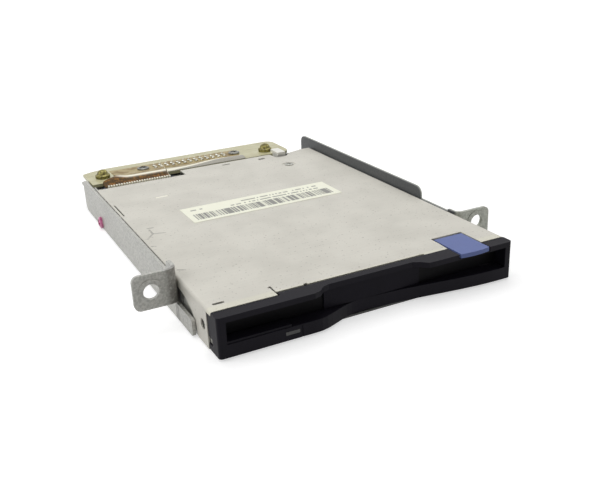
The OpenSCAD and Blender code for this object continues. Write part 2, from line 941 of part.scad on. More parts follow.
module at_pins(z) {
  for (i = [0:pin_columns - 1], row = header_row_in)
    translate([header_x + (i - (pin_columns - 1)/2)*pin_pitch, board_front_y + row, z])
      children();
}

module chassis() {
  color("#a3a39b")
  difference() {
    union() {
      block([-chassis_out_x, chassis_out_x], [front_y, rear_y], [0, floor_z]);
      block([-chassis_out_x, chassis_out_x], [rear_y - chassis_t, rear_y], [0, chassis_wall_z]);
      both_sides() {
        block([chassis_in_x, chassis_out_x], [back(wall_front_back), rear_y], [0, chassis_wall_z]);
        // Tongue in the window of the bezel's wing
        block([chassis_in_x, chassis_out_x],
              [back(window_front_back + seat_gap), back(wall_front_back) + cut],
              [window_z[0] + seat_gap, window_z[1] - seat_gap]);
      }
      // Post of the cover screw, and posts of the controller board
      translate([dimple_x, back(dimple_back), 0])
        cylinder(d = dimple_d, h = under_cover_z - dimple_depth);
      at_posts(0)
        cylinder(d = control_post_d, h = control_z);
    }
    // The rear wall is lower under the flat cable and the clip
    block([-chassis_in_x, flex_notch_right_x], [rear_y - chassis_t - cut, rear_y + cut],
          [flex_wall_z, top_z]);
    block([clip_x[0] - slide_gap, clip_x[1] + slide_gap], [rear_y - chassis_t - cut, rear_y + cut],
          [clip_foot_z, top_z]);
    // Window under the motor, and the hole of the cover screw
    translate([0, spindle_y, -cut])
      cylinder(d = motor_window_d, h = floor_z + 2*cut);
    translate([dimple_x, back(dimple_back), floor_z])
      cylinder(d = cover_screw_d, h = top_z);
    at_posts(floor_z)
      cylinder(d = control_screw_d, h = top_z);
    both_sides() {
      // Upright guides of the carrier's pins
      for (y = cam_pin_back)
        along_x([chassis_in_x - cut, chassis_out_x + cut])
          slot_plan([back(y), cam_pin_z], [back(y), cam_pin_z - carrier_drop],
                    cam_pin_d + 2*cam_slot_gap);
      translate([0, back(side_hole_back), side_hole_z])
        rod_along_x(side_hole_wall_d, [chassis_in_x - cut, chassis_out_x + cut]);
      translate([0, back(side_screw_back), side_screw_z])
        rod_along_x(side_screw_d, [chassis_in_x - cut, chassis_out_x + cut]);
    }
  }
}

module eject_button() {
  half = button_w/2;
  color("#6b79ac")
  translate([button_x, 0, 0]) {
    translate([0, 0, button_under_z])
      linear_extrude(button_top_z - button_under_z)
        button_plan(button_rear_y);
    translate([0, 0, button_lip_z])
      linear_extrude(button_top_z - button_lip_z)
        button_plan(button_front_y + button_lip_l);
    // Lug that holds in the slider's tongue
    translate([-half/2, button_rear_y - button_lug_back, tongue_z])
      cube([half, button_lug_l, tongue_t + cut]);
  }
}

// Button seen from above: a bowed front edge with round corners
module button_plan(rear) {
  half = button_w/2;
  bow_r = (half*half + button_bow*button_bow)/(2*button_bow);
  intersection() {
    round_rect([-half, half], [button_front_y, rear + button_corner_r], button_corner_r);
    translate([-half, button_front_y])
      square([button_w, rear - button_front_y]);
    translate([0, button_front_y + bow_r])
      circle(r = bow_r, $fn = 96);
  }
}

module eject_slider() {
  y = [back(slider_front_back), back(slider_front_back + slider_l)];
  tongue = [tongue_z, tongue_z + tongue_t];
  rear_tab = back(spring_back + spring_l);
  color("#b4b4ac")
  difference() {
    union() {
      both_sides() {
        block([slider_out_x - slider_strip_w, slider_out_x], y, [slider_z, slider_floor_top]);
        block([slider_in_x, slider_out_x], y, [slider_z, slider_wall_top_z]);
        block([slider_in_x, slider_out_x], [y[0], back(tongue_rear_back)], [slider_z, tongue[1]]);
        // Tabs that hold the spring
        for (tab = [back(spring_back) - carrier_t, rear_tab])
          block(around(spring_x, spring_tab_w),
                [tab, tab + carrier_t], [slider_z, slider_floor_top + spring_tab_h]);
      }
      block([-slider_out_x, slider_out_x], [y[0], back(tongue_rear_back)], tongue);
      block([button_x - button_w/2 + tongue_margin, button_x + button_w/2 - tongue_margin],
            [button_rear_y - tongue_under_button, y[0] + cut], tongue);
    }
    both_sides()
      for (pin = cam_pin_back)
        along_x([slider_in_x - cut, slider_out_x + cut])
          slot_plan([back(pin), cam_pin_z],
                    [back(pin) + button_travel, cam_pin_z - carrier_drop],
                    cam_pin_d + 2*cam_slot_gap);
    // Hole for the button's lug
    translate([button_x - button_w/4 - press_gap, button_rear_y - button_lug_back - press_gap,
               tongue_z - cut])
      cube([button_w/2 + 2*press_gap, button_lug_l + 2*press_gap, tongue_t + 2*cut]);
  }
}

// Closed coils between the slider's tabs
module slider_springs() {
  color("silver")
  both_sides()
    translate([spring_x, 0, slider_floor_top + spring_floor_gap + spring_d/2])
      rod_along_y(spring_d, backs([spring_back, spring_back + spring_l]));
}

module disk_carrier() {
  y = backs([carrier_front_back, carrier_rear_back]);
  foot = [carrier_foot_z - carrier_t, carrier_foot_z];
  roof = [carrier_roof_z, carrier_roof_z + carrier_t];
  color("#bdbdb4")
  difference() {
    union() {
      block([-carrier_out_x, carrier_out_x], y, roof);
      both_sides() {
        block([carrier_in_x, carrier_out_x], y, [foot[0], roof[1]]);
        block([carrier_out_x - carrier_flange_w, carrier_out_x], y, foot);
        // Stop for the disk's leading edge
        block([carrier_stop_x - carrier_flange_w, carrier_stop_x], [y[1] - carrier_t, y[1]],
              [carrier_foot_z + carrier_stop_up, roof[1]]);
      }
    }
    // Windows for the heads and over the spindle
    block(around(0, head_window_w), [y[1] - head_window_l, y[1] + cut],
          past(roof));
    translate([0, spindle_y, roof[0] - cut])
      cylinder(d = carrier_hole_d, h = carrier_t + 2*cut);
    // Arc slot for the lever's pin, and the hole of its rivet
    translate([lever_x, back(lever_back), roof[0] - cut]) {
      cylinder(d = rivet_d + 2*press_gap, h = carrier_t + 2*cut);
      linear_extrude(carrier_t + 2*cut)
        lever_arc();
    }
    both_sides()
      for (pin = cam_pin_back)
        translate([0, back(pin), cam_pin_z])
          rod_along_x(cam_pin_d + 2*press_gap, [carrier_in_x - cut, carrier_out_x + cut]);
  }
}

// Arc that the lever's pin sweeps, about the rivet
module lever_arc() {
  half = lever_pin_d/2 + lever_slot_gap;
  start = 180 + lever_angle;
  intersection() {
    difference() {
      circle(r = lever_len + half, $fn = 96);
      circle(r = lever_len - half, $fn = 96);
    }
    polygon(concat([[0, 0]], [for (i = [0:lever_steps])
        let (a = start + lever_end - i*(lever_swing + 2*lever_end)/lever_steps)
            2*lever_len*[cos(a), sin(a)]]));
  }
}

module carrier_pins() {
  color("silver")
  both_sides()
    for (pin = cam_pin_back)
      translate([0, back(pin), cam_pin_z])
        rod_along_x(cam_pin_d, [carrier_in_x, chassis_out_x - seat_gap]);
}

module shutter_lever() {
  color("#c9c9c2")
  translate([lever_x, back(lever_back), lever_z])
    rotate([0, 0, 180 + lever_angle])
      difference() {
        union() {
          cylinder(d = lever_boss_d, h = lever_t);
          translate([0, -lever_w/2, 0])
            cube([lever_len, lever_w, lever_t]);
          translate([lever_len, 0, 0])
            cylinder(d = lever_w, h = lever_t);
          translate([lever_len, 0, lever_t - lever_pin_l])
            cylinder(d = lever_pin_d, h = lever_pin_l);
        }
        translate([0, 0, -cut])
          cylinder(d = rivet_d + 2*turn_gap, h = lever_t + 2*cut);
      }
}

module lever_rivet() {
  top = lever_z + lever_t + turn_gap;
  color("silver")
  translate([lever_x, back(lever_back), 0]) {
    translate([0, 0, carrier_roof_z])
      cylinder(d = rivet_d, h = top - carrier_roof_z);
    translate([0, 0, carrier_roof_z + carrier_t])
      cylinder(d = rivet_shoulder_d, h = lever_gap - turn_gap);
    translate([0, 0, top])
      cylinder(d = rivet_head_d, h = rivet_head_t);
  }
}

// Return spring: a wire ring round the rivet's head with a leg along the lever
module lever_spring() {
  color("silver")
  translate([lever_x, back(lever_back), lever_z + lever_t + lever_wire_d/2])
    rotate([0, 0, 180 + lever_angle]) {
      rotate_extrude()
        translate([lever_ring_r, 0])
          circle(d = lever_wire_d, $fn = 16);
      translate([lever_ring_r, 0, 0])
        rotate([0, 90, 0])
          cylinder(d = lever_wire_d, h = lever_leg_l);
    }
}

module motor_board() {
  color("#3f6b4a")
  translate([0, 0, floor_z])
    linear_extrude(motor_board_t)
      difference() {
        union() {
          translate([0, spindle_y])
            circle(r = motor_board_r, $fn = 96);
          translate([-motor_board_front_w/2, back(motor_board_front_back)])
            square([motor_board_front_w, motor_board_front_l]);
          translate([-motor_board_neck_w/2, back(motor_board_front_back)])
            square([motor_board_neck_w, spindle_back - motor_board_front_back]);
        }
        translate([0, spindle_y])
          circle(d = bearing_d + 2*press_gap);
      }
}

module activity_lamp() {
  y = [back(motor_board_front_back), back(motor_board_front_back) + lamp_l];
  color("honeydew") {
    block(around(lens_x, lamp_w), y, [motor_board_top, motor_board_top + lamp_h/2]);
    block([lens_x - lamp_w/4, lens_x + lamp_w/4], y, [motor_board_top, motor_board_top + lamp_h]);
  }
}

module stator_coils() {
  color("#b5702f")
  for (i = [0:coil_count - 1])
    translate([0, spindle_y, motor_board_top])
      rotate([0, 0, i*360/coil_count])
        translate([coil_r, 0, 0])
          difference() {
            cylinder(d = coil_d, h = coil_top_z - motor_board_top);
            translate([0, 0, -cut])
              cylinder(d = coil_hole_d, h = coil_top_z);
          }
}

module spindle_bearing() {
  color("#b08d3c")
  translate([0, spindle_y, 0])
    difference() {
      union() {
        translate([0, 0, bearing_z])
          cylinder(d = bearing_d, h = bearing_top_z - bearing_z);
        translate([0, 0, motor_board_top])
          cylinder(d = bearing_flange_d, h = bearing_flange_t);
      }
      translate([0, 0, bearing_z + bearing_floor_t])
        cylinder(d = shaft_d + 2*turn_gap, h = bearing_top_z);
    }
}

module spindle_shaft() {
  foot = bearing_z + bearing_floor_t + turn_gap;
  color("silver")
  translate([0, spindle_y, foot])
    cylinder(d = shaft_d, h = spindle_tip_z - foot);
}

module rotor_cup() {
  color("#9a9a93")
  translate([0, spindle_y, 0])
    rotate_extrude($fn = 96)
      polygon([[shaft_d/2 + press_gap, rotor_top_z - rotor_t], [shaft_d/2 + press_gap, rotor_top_z],
               [rotor_d/2, rotor_top_z], [rotor_d/2, rotor_rim_z],
               [rotor_d/2 - rotor_wall_t, rotor_rim_z],
               [rotor_d/2 - rotor_wall_t, rotor_top_z - rotor_t]]);
}

module rotor_magnet() {
  color("#3a3a3a")
  translate([0, spindle_y, rotor_top_z - rotor_t - magnet_t])
    difference() {
      cylinder(r = magnet_out_r, h = magnet_t);
      translate([0, 0, -cut])
        cylinder(r = magnet_in_r, h = magnet_t + 2*cut);
    }
}

module spindle_hub() {
  h = hub_top_z - rotor_top_z;
  color("#c4c4bd")
  translate([0, spindle_y, rotor_top_z])
    difference() {
      cylinder(d = hub_d, h = h);
      translate([0, 0, -cut])
        cylinder(d = shaft_d + 2*press_gap, h = h + 2*cut);
      translate([0, drive_pin_r, -cut])
        cylinder(d = drive_pin_d + 2*turn_gap, h = h + 2*cut);
    }
}

module drive_pin() {
  color("silver")
  translate([0, spindle_y + drive_pin_r, rotor_top_z + drive_pin_travel])
    cylinder(d = drive_pin_d, h = drive_pin_z - rotor_top_z - drive_pin_travel);
}

module head_carriage() {
  tower_y = backs(tower_back);
  arm_front = head_y - head_l/2 - lower_arm_ahead;
  color("#4a4c50")
  difference() {
    union() {
      translate([rod_x, 0, rod_z])
        rod_along_y(sleeve_d, backs(sleeve_back));
      block(bed_x, backs(sleeve_back), bed_z);
      block(around(0, lower_arm_w), [arm_front, tower_y[1]], bed_z);
      block([-tower_x, tower_x], tower_y, [needle_arm_z[0], tower_z]);
      for (x = [-tower_x, tower_x - pivot_ear_w])
        block([x, x + pivot_ear_w], tower_y, [tower_z - cut, arm_pivot_z + pivot_ear_w]);
      // Arm of the needle that follows the lead screw's groove
      block([tower_x - cut, stepper_x + needle_d], [needle_y - needle_d, needle_y + needle_d],
            needle_arm_z);
      translate([stepper_x, needle_y, needle_arm_z[0]])
        cylinder(d = needle_d, h = needle_tip_z - needle_arm_z[0]);
      // Flag for the track sensor
      block(around(sensor_x, flag_t), [tower_y[1] - cut, back(flag_rear_back)],
            needle_arm_z);
    }
    translate([rod_x, 0, rod_z])
      rod_along_y(rod_d + 2*turn_gap, [back(sleeve_back[0]) - cut, back(sleeve_back[1]) + cut]);
    translate([0, arm_y, arm_pivot_z])
      rod_along_x(arm_pin_d + 2*press_gap, [-tower_x - cut, tower_x + cut]);
  }
}

module lower_head() {
  color("#d8d6cc")
  block(around(0, head_w), around(head_y, head_l), [bed_z[1], head_face_z]);
}

// The arm stands lifted at rest, level under the cover
module upper_arm() {
  x = [-arm_root_w/2, arm_root_w/2 - arm_coil_w];
  knee = back(arm_knee_back);
  nose = head_y - head_l/2 - arm_ahead;
  color("#b9bab4")
  difference() {
    union() {
      along_x(x)
        polygon([[arm_y, arm_pivot_z + arm_boss_d/2], [knee, arm_roof_z + arm_t],
                 [knee - arm_root_w, arm_roof_z + arm_t], [knee - arm_root_w, arm_roof_z],
                 [knee, arm_roof_z], [arm_y, arm_pivot_z + arm_boss_d/2 - arm_t]]);
      block(around(0, arm_w), [nose, knee - arm_root_w/2], [arm_roof_z, arm_roof_z + arm_t]);
      translate([0, arm_y, arm_pivot_z])
        rod_along_x(arm_boss_d, x);
    }
    translate([0, arm_y, arm_pivot_z])
      rod_along_x(arm_pin_d + 2*turn_gap, past(x));
  }
}

// The face is level once the arm is down
module upper_head() {
  tilt = tan(arm_swing)*head_l/2;
  color("#d8d6cc")
  along_x(around(0, head_w))
    polygon([[head_y - head_l/2, arm_roof_z], [head_y + head_l/2, arm_roof_z],
             [head_y + head_l/2, arm_roof_z - upper_head_t - tilt],
             [head_y - head_l/2, arm_roof_z - upper_head_t + tilt]]);
}

module arm_pivot_pin() {
  color("silver")
  translate([0, arm_y, arm_pivot_z])
    rod_along_x(arm_pin_d, [-tower_x, tower_x]);
}

// Closed coil on the pivot pin, with a leg down into the carriage
module arm_spring() {
  x = [arm_root_w/2 - arm_coil_w + seat_gap, arm_root_w/2];
  color("silver")
  difference() {
    union() {
      translate([0, arm_y, arm_pivot_z])
        rod_along_x(arm_boss_d, x);
      block([middle(x) - arm_t/2, middle(x) + arm_t/2], around(arm_y, arm_t),
            [tower_z, arm_pivot_z]);
    }
    translate([0, arm_y, arm_pivot_z])
      rod_along_x(arm_pin_d + 2*turn_gap, past(x));
  }
}

module guide_rod() {
  color("silver")
  translate([rod_x, 0, rod_z])
    rod_along_y(rod_d, backs(rod_back));
}

module rod_clamps() {
  color("#8f918c")
  for (y = [rod_back[0], rod_back[1] - clamp_l])
    difference() {
      block(around(rod_x, clamp_w), backs([y, y + clamp_l]),
            [floor_z, rod_z + rod_d/2 + clamp_t]);
      translate([rod_x, 0, rod_z])
        rod_along_y(rod_d + 2*press_gap, [back(y) - cut, back(y + clamp_l) + cut]);
    }
}

module stepper_motor() {
  color("#a8a9a4")
  translate([stepper_x, 0, stepper_z])
    difference() {
      union() {
        rod_along_y(stepper_d, backs(stepper_back));
        rod_along_y(stepper_boss_d, backs([stepper_back[1], stepper_back[1] + stepper_boss_l]));
      }
      rod_along_y(screw_neck_d + 2*turn_gap,
                  backs([stepper_back[0] - cut, stepper_back[0] + screw_neck_l + seat_gap]));
    }
}

module stepper_bracket() {
  half = stepper_d/2;
  rear = [stepper_back[0] - stepper_flange_t, stepper_back[0]];
  color("#b9b9b2")
  difference() {
    union() {
      block([stepper_x - half, stepper_x + half], backs([screw_ear_back[0], rear[1]]),
            [floor_z, floor_z + span(screw_ear_back)]);
      block(around(stepper_x, screw_ear_w), backs(screw_ear_back),
            [floor_z, screw_ear_z]);
      block([stepper_x - half, stepper_x + half], backs(rear), [floor_z, stepper_z + half]);
    }
    translate([stepper_x, 0, stepper_z]) {
      rod_along_y(screw_pivot_d + 2*turn_gap,
                  [back(screw_ear_back[0]) - cut, back(screw_ear_back[1]) + cut]);
      rod_along_y(screw_d + 2*turn_gap, [back(rear[0]) - cut, back(rear[1]) + cut]);
    }
  }
}

// Screw with one wide groove that winds towards the front as the screw turns about +Y
module lead_screw() {
  h = span(screw_back);
  turn = 90 - 360*(needle_y - back(screw_back[0]))/screw_lead;
  color("silver")
  translate([stepper_x, back(screw_back[0]), stepper_z])
    rotate([-90, 0, 0]) {
      linear_extrude(h, twist = -360*h/screw_lead, slices = ceil(h*screw_slices/screw_lead))
        rotate(turn)
          groove_section();
      translate([0, 0, back(screw_ear_back[0]) - back(screw_back[0])])
        cylinder(d = screw_pivot_d, h = screw_back[0] - screw_ear_back[0] + cut);
      translate([0, 0, h - cut])
        cylinder(d = screw_neck_d, h = stepper_back[0] - screw_back[1] + screw_neck_l + cut);
    }
}

// Cross section of the screw, with its groove centred on 0 degrees
module groove_section() {
  half = 180*groove_w/screw_lead;
  polygon([for (i = [0:groove_steps - 1])
      let (a = i*360/groove_steps)
      let (r = (a < half || a > 360 - half) ? screw_d/2 - groove_depth : screw_d/2)
          r*[cos(a), sin(a)]]);
}

// Flat cable from the carriage, doubled back under the controller board
module head_cable() {
  y = [back(tower_back[0]) + cable_in, back(tower_back[0]) + cable_in + cable_w];
  z = [rod_z + rod_d/2 + slide_gap, rod_z + rod_d/2 + slide_gap + cable_t];
  color("#8a5a2c") {
    block([cable_left_x, -tower_x], y, z);
    block([cable_left_x, cable_left_x + cable_t], y, [z[0], cable_top_z]);
    block([cable_left_x, cable_end_x], y, [cable_top_z - cable_t, cable_top_z]);
  }
}

module track_sensor() {
  y = backs(sensor_back);
  color("#26262a")
  difference() {
    block(around(sensor_x, sensor_w), y, [floor_z, floor_z + sensor_h]);
    block(around(sensor_x, sensor_gap_w), past(y),
          [needle_arm_z[0] - sensor_gap_w/2, floor_z + sensor_h + cut]);
  }
}

module disk_switches() {
  color("#2b2b30")
  for (x = switch_xs)
    translate([x, back(switch_back), motor_board_top])
      difference() {
        translate([-switch_size[0]/2, -switch_size[1]/2, 0])
          cube(switch_size);
        translate([0, 0, switch_floor_t])
          cylinder(d = plunger_d + 2*turn_gap, h = switch_size[2]);
      }
}

module switch_plunger(x) {
  foot = motor_board_top + switch_floor_t + plunger_travel + seat_gap;
  color("ivory")
  translate([x, back(switch_back), foot])
    cylinder(d = plunger_d, h = plunger_z + plunger_travel - foot);
}

module write_tab_plunger() {
  switch_plunger(switch_xs[0]);
}

module density_plunger() {
  switch_plunger(switch_xs[1]);
}

module disk_plunger() {
  switch_plunger(switch_xs[2]);
}

module controller_board() {
  color("#2f6f4a")
  difference() {
    block(control_x, backs(control_back), [control_z, control_z + control_t]);
    at_posts(control_z - cut)
      cylinder(d = control_screw_d + 2*turn_gap, h = control_t + 2*cut);
  }
}

module board_chips() {
  top = control_z + control_t;
  place = function (s) [control_x[0] + s[0]*span(control_x), back(control_back[0] + s[1]*span(control_back))];
  color("#202024") {
    translate([place(chip_share[0])[0] - chip_big/2, place(chip_share[0])[1] - chip_big/2, top])
      cube([chip_big, chip_big, chip_t]);
    translate([place(chip_share[1])[0] - chip_small/2, place(chip_share[1])[1] - chip_big/2, top])
      cube([chip_small, chip_big, chip_t]);
    for (s = part_share)
      translate([place(s)[0], place(s)[1], top])
        cube(part_size);
  }
}

module controller_screws() {
  color("#b9b9b2")
  at_posts(control_z + control_t)
    pan_screw(control_screw_head_d, control_screw_head_h, control_screw_d, control_screw_l);
}

module flex_connector() {
  x = around(connector_x, connector_w);
  y = backs(connector_back);
  color("#2a2c33")
  difference() {
    block(x, y, [control_z + control_t, connector_z]);
    // Chamfer towards the cable
    along_x(past(x))
      polygon([[y[1] - connector_slope_l, connector_z + cut], [y[1] - connector_slope_l, connector_z],
               [y[1], connector_z - connector_slope_h], [y[1] + cut, connector_z - connector_slope_h],
               [y[1] + cut, connector_z + cut]]);
  }
}

module connector_contacts() {
  color("#d8cfa8")
  for (i = [0:contact_count - 1])
    translate([connector_x + (i - (contact_count - 1)/2)*contact_pitch - contact_w/2,
               back(contact_back), connector_z])
      cube([contact_w, contact_l, contact_t]);
}

// Height of the cable's underside between the connector and the board, t from 0 to 1
function crest(t) = connector_z + (top_z - connector_z)*ease(t) + flex_crest_h*sin(180*t);
function tail_y(t) = back(flex_rise_back + t*(flex_land_back - flex_rise_back));
function edge_z(t) = top_z + flex_edge_lift*(1 - ease(t));
function edge_y(t) = back(flex_edge_back + t*(flex_edge_flat_back - flex_edge_back));

module flex_profile(line) {
  n = len(line);
  polygon(concat(line, [for (i = [1:n]) line[n - i] + [0, flex_t]]));
}

module interface_flex() {
  tail = concat([[back(flex_start_back), connector_z]],
                [for (i = [0:flex_steps]) [tail_y(i/flex_steps), crest(i/flex_steps)]],
                [[back(flex_flat_back), top_z]]);
  body = concat([for (i = [0:flex_steps]) [edge_y(i/flex_steps), edge_z(i/flex_steps)]],
                [[back(flex_flat_back), top_z]]);
  tail_x = around(connector_x, flex_tail_w);
  color("#775329")
  difference() {
    union() {
      along_x(tail_x)
        flex_profile(tail);
      along_x([tail_x[1] - flex_t, flex_body_right_x])
        flex_profile(body);
    }
    // Cut back at the left, and holes for the pins and screw heads
    block([tail_x[0] - cut, flex_body_left_x], [back(flex_narrow_back), back(flex_flat_back) + cut],
          [top_z - cut, top_z + flex_crest_h + flex_t + cut]);
    at_pins(top_z - cut)
      cylinder(d = flex_hole_d, h = flex_t + 2*cut);
    at_header_screws(top_z - cut)
      cylinder(d = header_screw_head_d + 2*seat_gap, h = flex_t + 2*cut);
  }
}

module interposer_plan() {
  x1 = board_x0 + board_w;
  r = board_right_r;
  polygon(concat(
      [[board_x0, board_front_y]],
      arc([x1 - r, board_front_y + r], r, 270, 360),
      arc([x1 - r, board_rear_y - r], r, 0, 90),
      [[board_x0 + board_left_cut_x, board_rear_y - board_left_rise],
       [board_x0 + board_left_cut_x*board_left_mid_share, board_rear_y - board_left_cut_y/2],
       [board_x0, board_rear_y - board_left_cut_y]]));
}

module interposer_board() {
  color("#c9c69c")
  translate([0, 0, board_z])
    linear_extrude(board_t)
      difference() {
        interposer_plan();
        at_board_screws(0)
          circle(d = board_screw_d + 2*turn_gap);
        at_header_screws(0)
          circle(d = header_screw_d + 2*turn_gap);
        at_pins(0)
          circle(d = pin_hole_d, $fn = 24);
      }
}

module interface_header() {
  y = board_front_y + middle(header_row_in);
  socket = header_socket_l/2;
  color("#26282c")
  difference() {
    union() {
      block(around(header_x, header_w), [y - socket, y + socket],
            [board_z - header_h, board_z]);
      block(around(header_x, header_ear_w),
            around(y, header_ear_l), [board_z - header_ear_h, board_z]);
    }
    block([header_x - header_w/2 + header_wall_t, header_x + header_w/2 - header_wall_t],
          [y - socket + header_wall_t, y + socket - header_wall_t],
          [board_z - header_h - cut, board_z - header_ear_h]);
    block(around(header_x, key_w), [y - socket - cut, y - socket + header_wall_t + cut],
          [board_z - header_h - cut, board_z - header_ear_h - header_wall_t]);
    at_header_screws(board_z - header_ear_h - cut)
      cylinder(d = header_screw_d + 2*press_gap, h = header_ear_h + 2*cut);
    at_pins(board_z - header_h/2)
      cube([pin_w + 2*press_gap, pin_w + 2*press_gap, header_h + cut], center = true);
  }
}

module header_pins() {
  color("#d9d6c8")
  at_pins(board_z - header_h + header_wall_t)
    translate([-pin_w/2, -pin_w/2, 0])
      cube([pin_w, pin_w, header_h - header_wall_t + board_t + pin_top_h]);
}

module header_screws() {
  color("#8d8d88")
  at_header_screws(top_z)
    pan_screw(header_screw_head_d, header_screw_head_h, header_screw_d, header_screw_l);
}

module board_screws() {
  color("#9a9443")
  at_board_screws(top_z)
    pan_screw(board_screw_head_d, board_screw_head_h, board_screw_d, board_screw_l);
}

// Clip on the rear wall that holds the board's front edge between two jaws
module nylon_clip() {
  front = rear_y - clip_front_in;
  color("#f4f2e8")
  difference() {
    block(clip_x, [front, board_front_y + clip_jaw_l], [clip_foot_z, top_z + clip_rise]);
    block(past(clip_x), [rear_y + clip_gap, board_front_y + clip_jaw_l + cut],
          [clip_foot_z - cut, board_z - clip_jaw_t]);
    block(past(clip_x), [board_front_y - turn_gap, board_front_y + clip_jaw_l + cut],
          [board_z, top_z]);
  }
}

// Ear, its bend and the flat plate behind it, seen from above on the right
module ear_plan(reach) {
  bend_x = bracket_in_x + ear_bend_r;
  translate([bend_x, ear_y])
    square([reach - bend_x, bracket_t]);
  intersection() {
    difference() {
      translate([bend_x, ear_y + ear_bend_r])
        circle(r = ear_bend_r);
      translate([bend_x, ear_y + ear_bend_r])
        circle(r = ear_bend_r - bracket_t);
    }
    translate([bracket_in_x, ear_y])
      square([ear_bend_r, ear_bend_r]);
  }
}

// Bracket drawn on the right: outline is its plate, seen from the side
module bracket_shape(centre_z, hole_rise) {
  z = around(centre_z, ear_h);
  difference() {
    union() {
      intersection() {
        translate([0, 0, z[0]])
          linear_extrude(ear_h)
            ear_plan(ear_reach);
        // Round corners of the ear
        along_y([ear_y - cut, ear_y + ear_bend_r + cut])
          round_rect([bracket_in_x - ear_corner_r, ear_reach], z, ear_corner_r);
      }
      along_x([bracket_in_x, bracket_out_x])
        children();
      // Raised ring round the hole
      translate([ear_hole_x, ear_y, centre_z + hole_rise])
        rotate([90, 0, 0])
          cylinder(d = ring_d, h = ring_h);
      // Pads that stand on the chassis
      for (y = [side_pad_back, side_screw_back])
        translate([0, back(y), side_screw_z])
          rod_along_x(side_pad_d, [chassis_out_x, bracket_in_x]);
    }
    translate([ear_hole_x, 0, centre_z + hole_rise])
      rod_along_y(ear_hole_d, [ear_y - ring_h - cut, ear_y + bracket_t + cut]);
    translate([0, back(side_screw_back), side_screw_z])
      rod_along_x(side_screw_d + 2*turn_gap, [chassis_out_x - cut, bracket_out_x + cut]);
  }
}

module left_bracket() {
  z = around(left_ear_z, ear_h);
  bend = ear_y + ear_bend_r;
  color("#b6b7ac")
  mirror([1, 0, 0])
    bracket_shape(left_ear_z, 0) {
      round_rect([bend, back(left_rear_back)], [bracket_foot_z, top_z], plate_corner_r);
      translate([bend, bracket_foot_z])
        square([plate_corner_r, top_z - bracket_foot_z]);
      // Lip that rises to the ear
      translate([bend, z[0]])
        square([back(ear_lip_back) - bend - ear_lip_r, ear_h]);
      round_rect([bend, back(ear_lip_back)], [z[0], z[1]], ear_lip_r);
      // Rail that runs on below the ear
      round_rect([back(rail_front_back), bend + 2*rail_corner_r], [bracket_foot_z, rail_top_z],
                 rail_corner_r);
    }
}

module right_bracket() {
  z = around(right_ear_z, ear_h);
  bend = ear_y + ear_bend_r;
  low_z = top_z - right_low_drop;
  color("#8c8e88")
  bracket_shape(right_ear_z, right_hole_rise) {
    round_rect([back(right_step_back), back(right_rear_back)], [bracket_foot_z, top_z + right_rise],
               plate_corner_r);
    translate([bend, bracket_foot_z])
      square([back(right_step_back) + 2*plate_corner_r - bend, low_z - bracket_foot_z]);
    translate([bend, z[0]])
      square([ear_lip_r, ear_h]);
  }
}

// Cross bar between the brackets that carries the interposer board
module rear_bar() {
  y = backs(bar_back);
  narrow = back(bar_narrow_back);
  window_y = board_front_y + middle(header_row_in);
  color("#a9aaa2")
  difference() {
    union() {
      block([-bracket_in_x, bar_wide_x], y, [bar_z, bar_z + bar_t]);
      block([bar_wide_x - cut, bracket_in_x], [y[0], narrow], [bar_z, bar_z + bar_t]);
      both_sides()
        block([bracket_in_x - bar_t, bracket_in_x], [y[0], narrow], [bar_z - bar_ear_h, bar_z + cut]);
      at_board_screws(bar_z)
        cylinder(d = bar_post_d, h = board_z - bar_z);
    }
    block(around(header_x, bar_window_w),
          around(window_y, bar_window_l), [bar_z - cut, board_z]);
    at_board_screws(bar_z - cut)
      cylinder(d = board_screw_d + 2*press_gap, h = board_z);
  }
}

// Screw through a bracket's plate into the chassis, on the right
module side_screw() {
  translate([bracket_out_x, back(side_screw_back), side_screw_z])
    rotate([0, 90, 0])
      pan_screw(side_screw_head_d, side_screw_head_h, side_screw_d, side_screw_l);
}

module locked_screw() {
  color("#c2618f")
  mirror([1, 0, 0])
    side_screw();
}

module right_side_screw() {
  color("#b9b9b2")
  side_screw();
}

// Leaf between the cover's skirt and the chassis, along the arc
module grounding_spring() {
  out = cover_in_x - turn_gap/2;
  color("#cfcfc6")
  mirror([1, 0, 0])
    along_x([chassis_out_x, out])
      difference() {
        skirt_arc(1 - ground_in_share);
        skirt_arc(1 - 2*ground_in_share);
      }
}

top_cover();
cover_screw();
cover_label();
chassis();
bezel();
light_pipe();
activity_lamp();
dust_door();
door_spring();
eject_button();
eject_slider();
slider_springs();
disk_carrier();
carrier_pins();
shutter_lever();
lever_rivet();
lever_spring();
motor_board();
stator_coils();
spindle_bearing();
spindle_shaft();
rotor_cup();
rotor_magnet();
spindle_hub();
drive_pin();
head_carriage();
lower_head();
upper_arm();
upper_head();
arm_pivot_pin();
arm_spring();
guide_rod();
rod_clamps();
stepper_motor();
stepper_bracket();
lead_screw();
head_cable();
track_sensor();
disk_switches();
write_tab_plunger();
density_plunger();
disk_plunger();
controller_board();
board_chips();
controller_screws();
flex_connector();
connector_contacts();
interface_flex();
interposer_board();
interface_header();
header_pins();
header_screws();
board_screws();
nylon_clip();
left_bracket();
right_bracket();
rear_bar();
locked_screw();
right_side_screw();
grounding_spring();
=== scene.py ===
"""Dresses a slim floppy disk drive, its two brackets and its rear connector board.

The solids come packed from CAD and keep their shape. This script gives each of them a
finish, adds the parts that need finer forms, and sets up a pale studio with a camera.
Sizes are in millimetres unless a comment says otherwise.
"""

import logging
import math
from dataclasses import dataclass
from enum import Enum
from typing import Any, Callable, Optional, Protocol, Sequence, Union

import bmesh
import bpy
from mathutils import Matrix, Vector

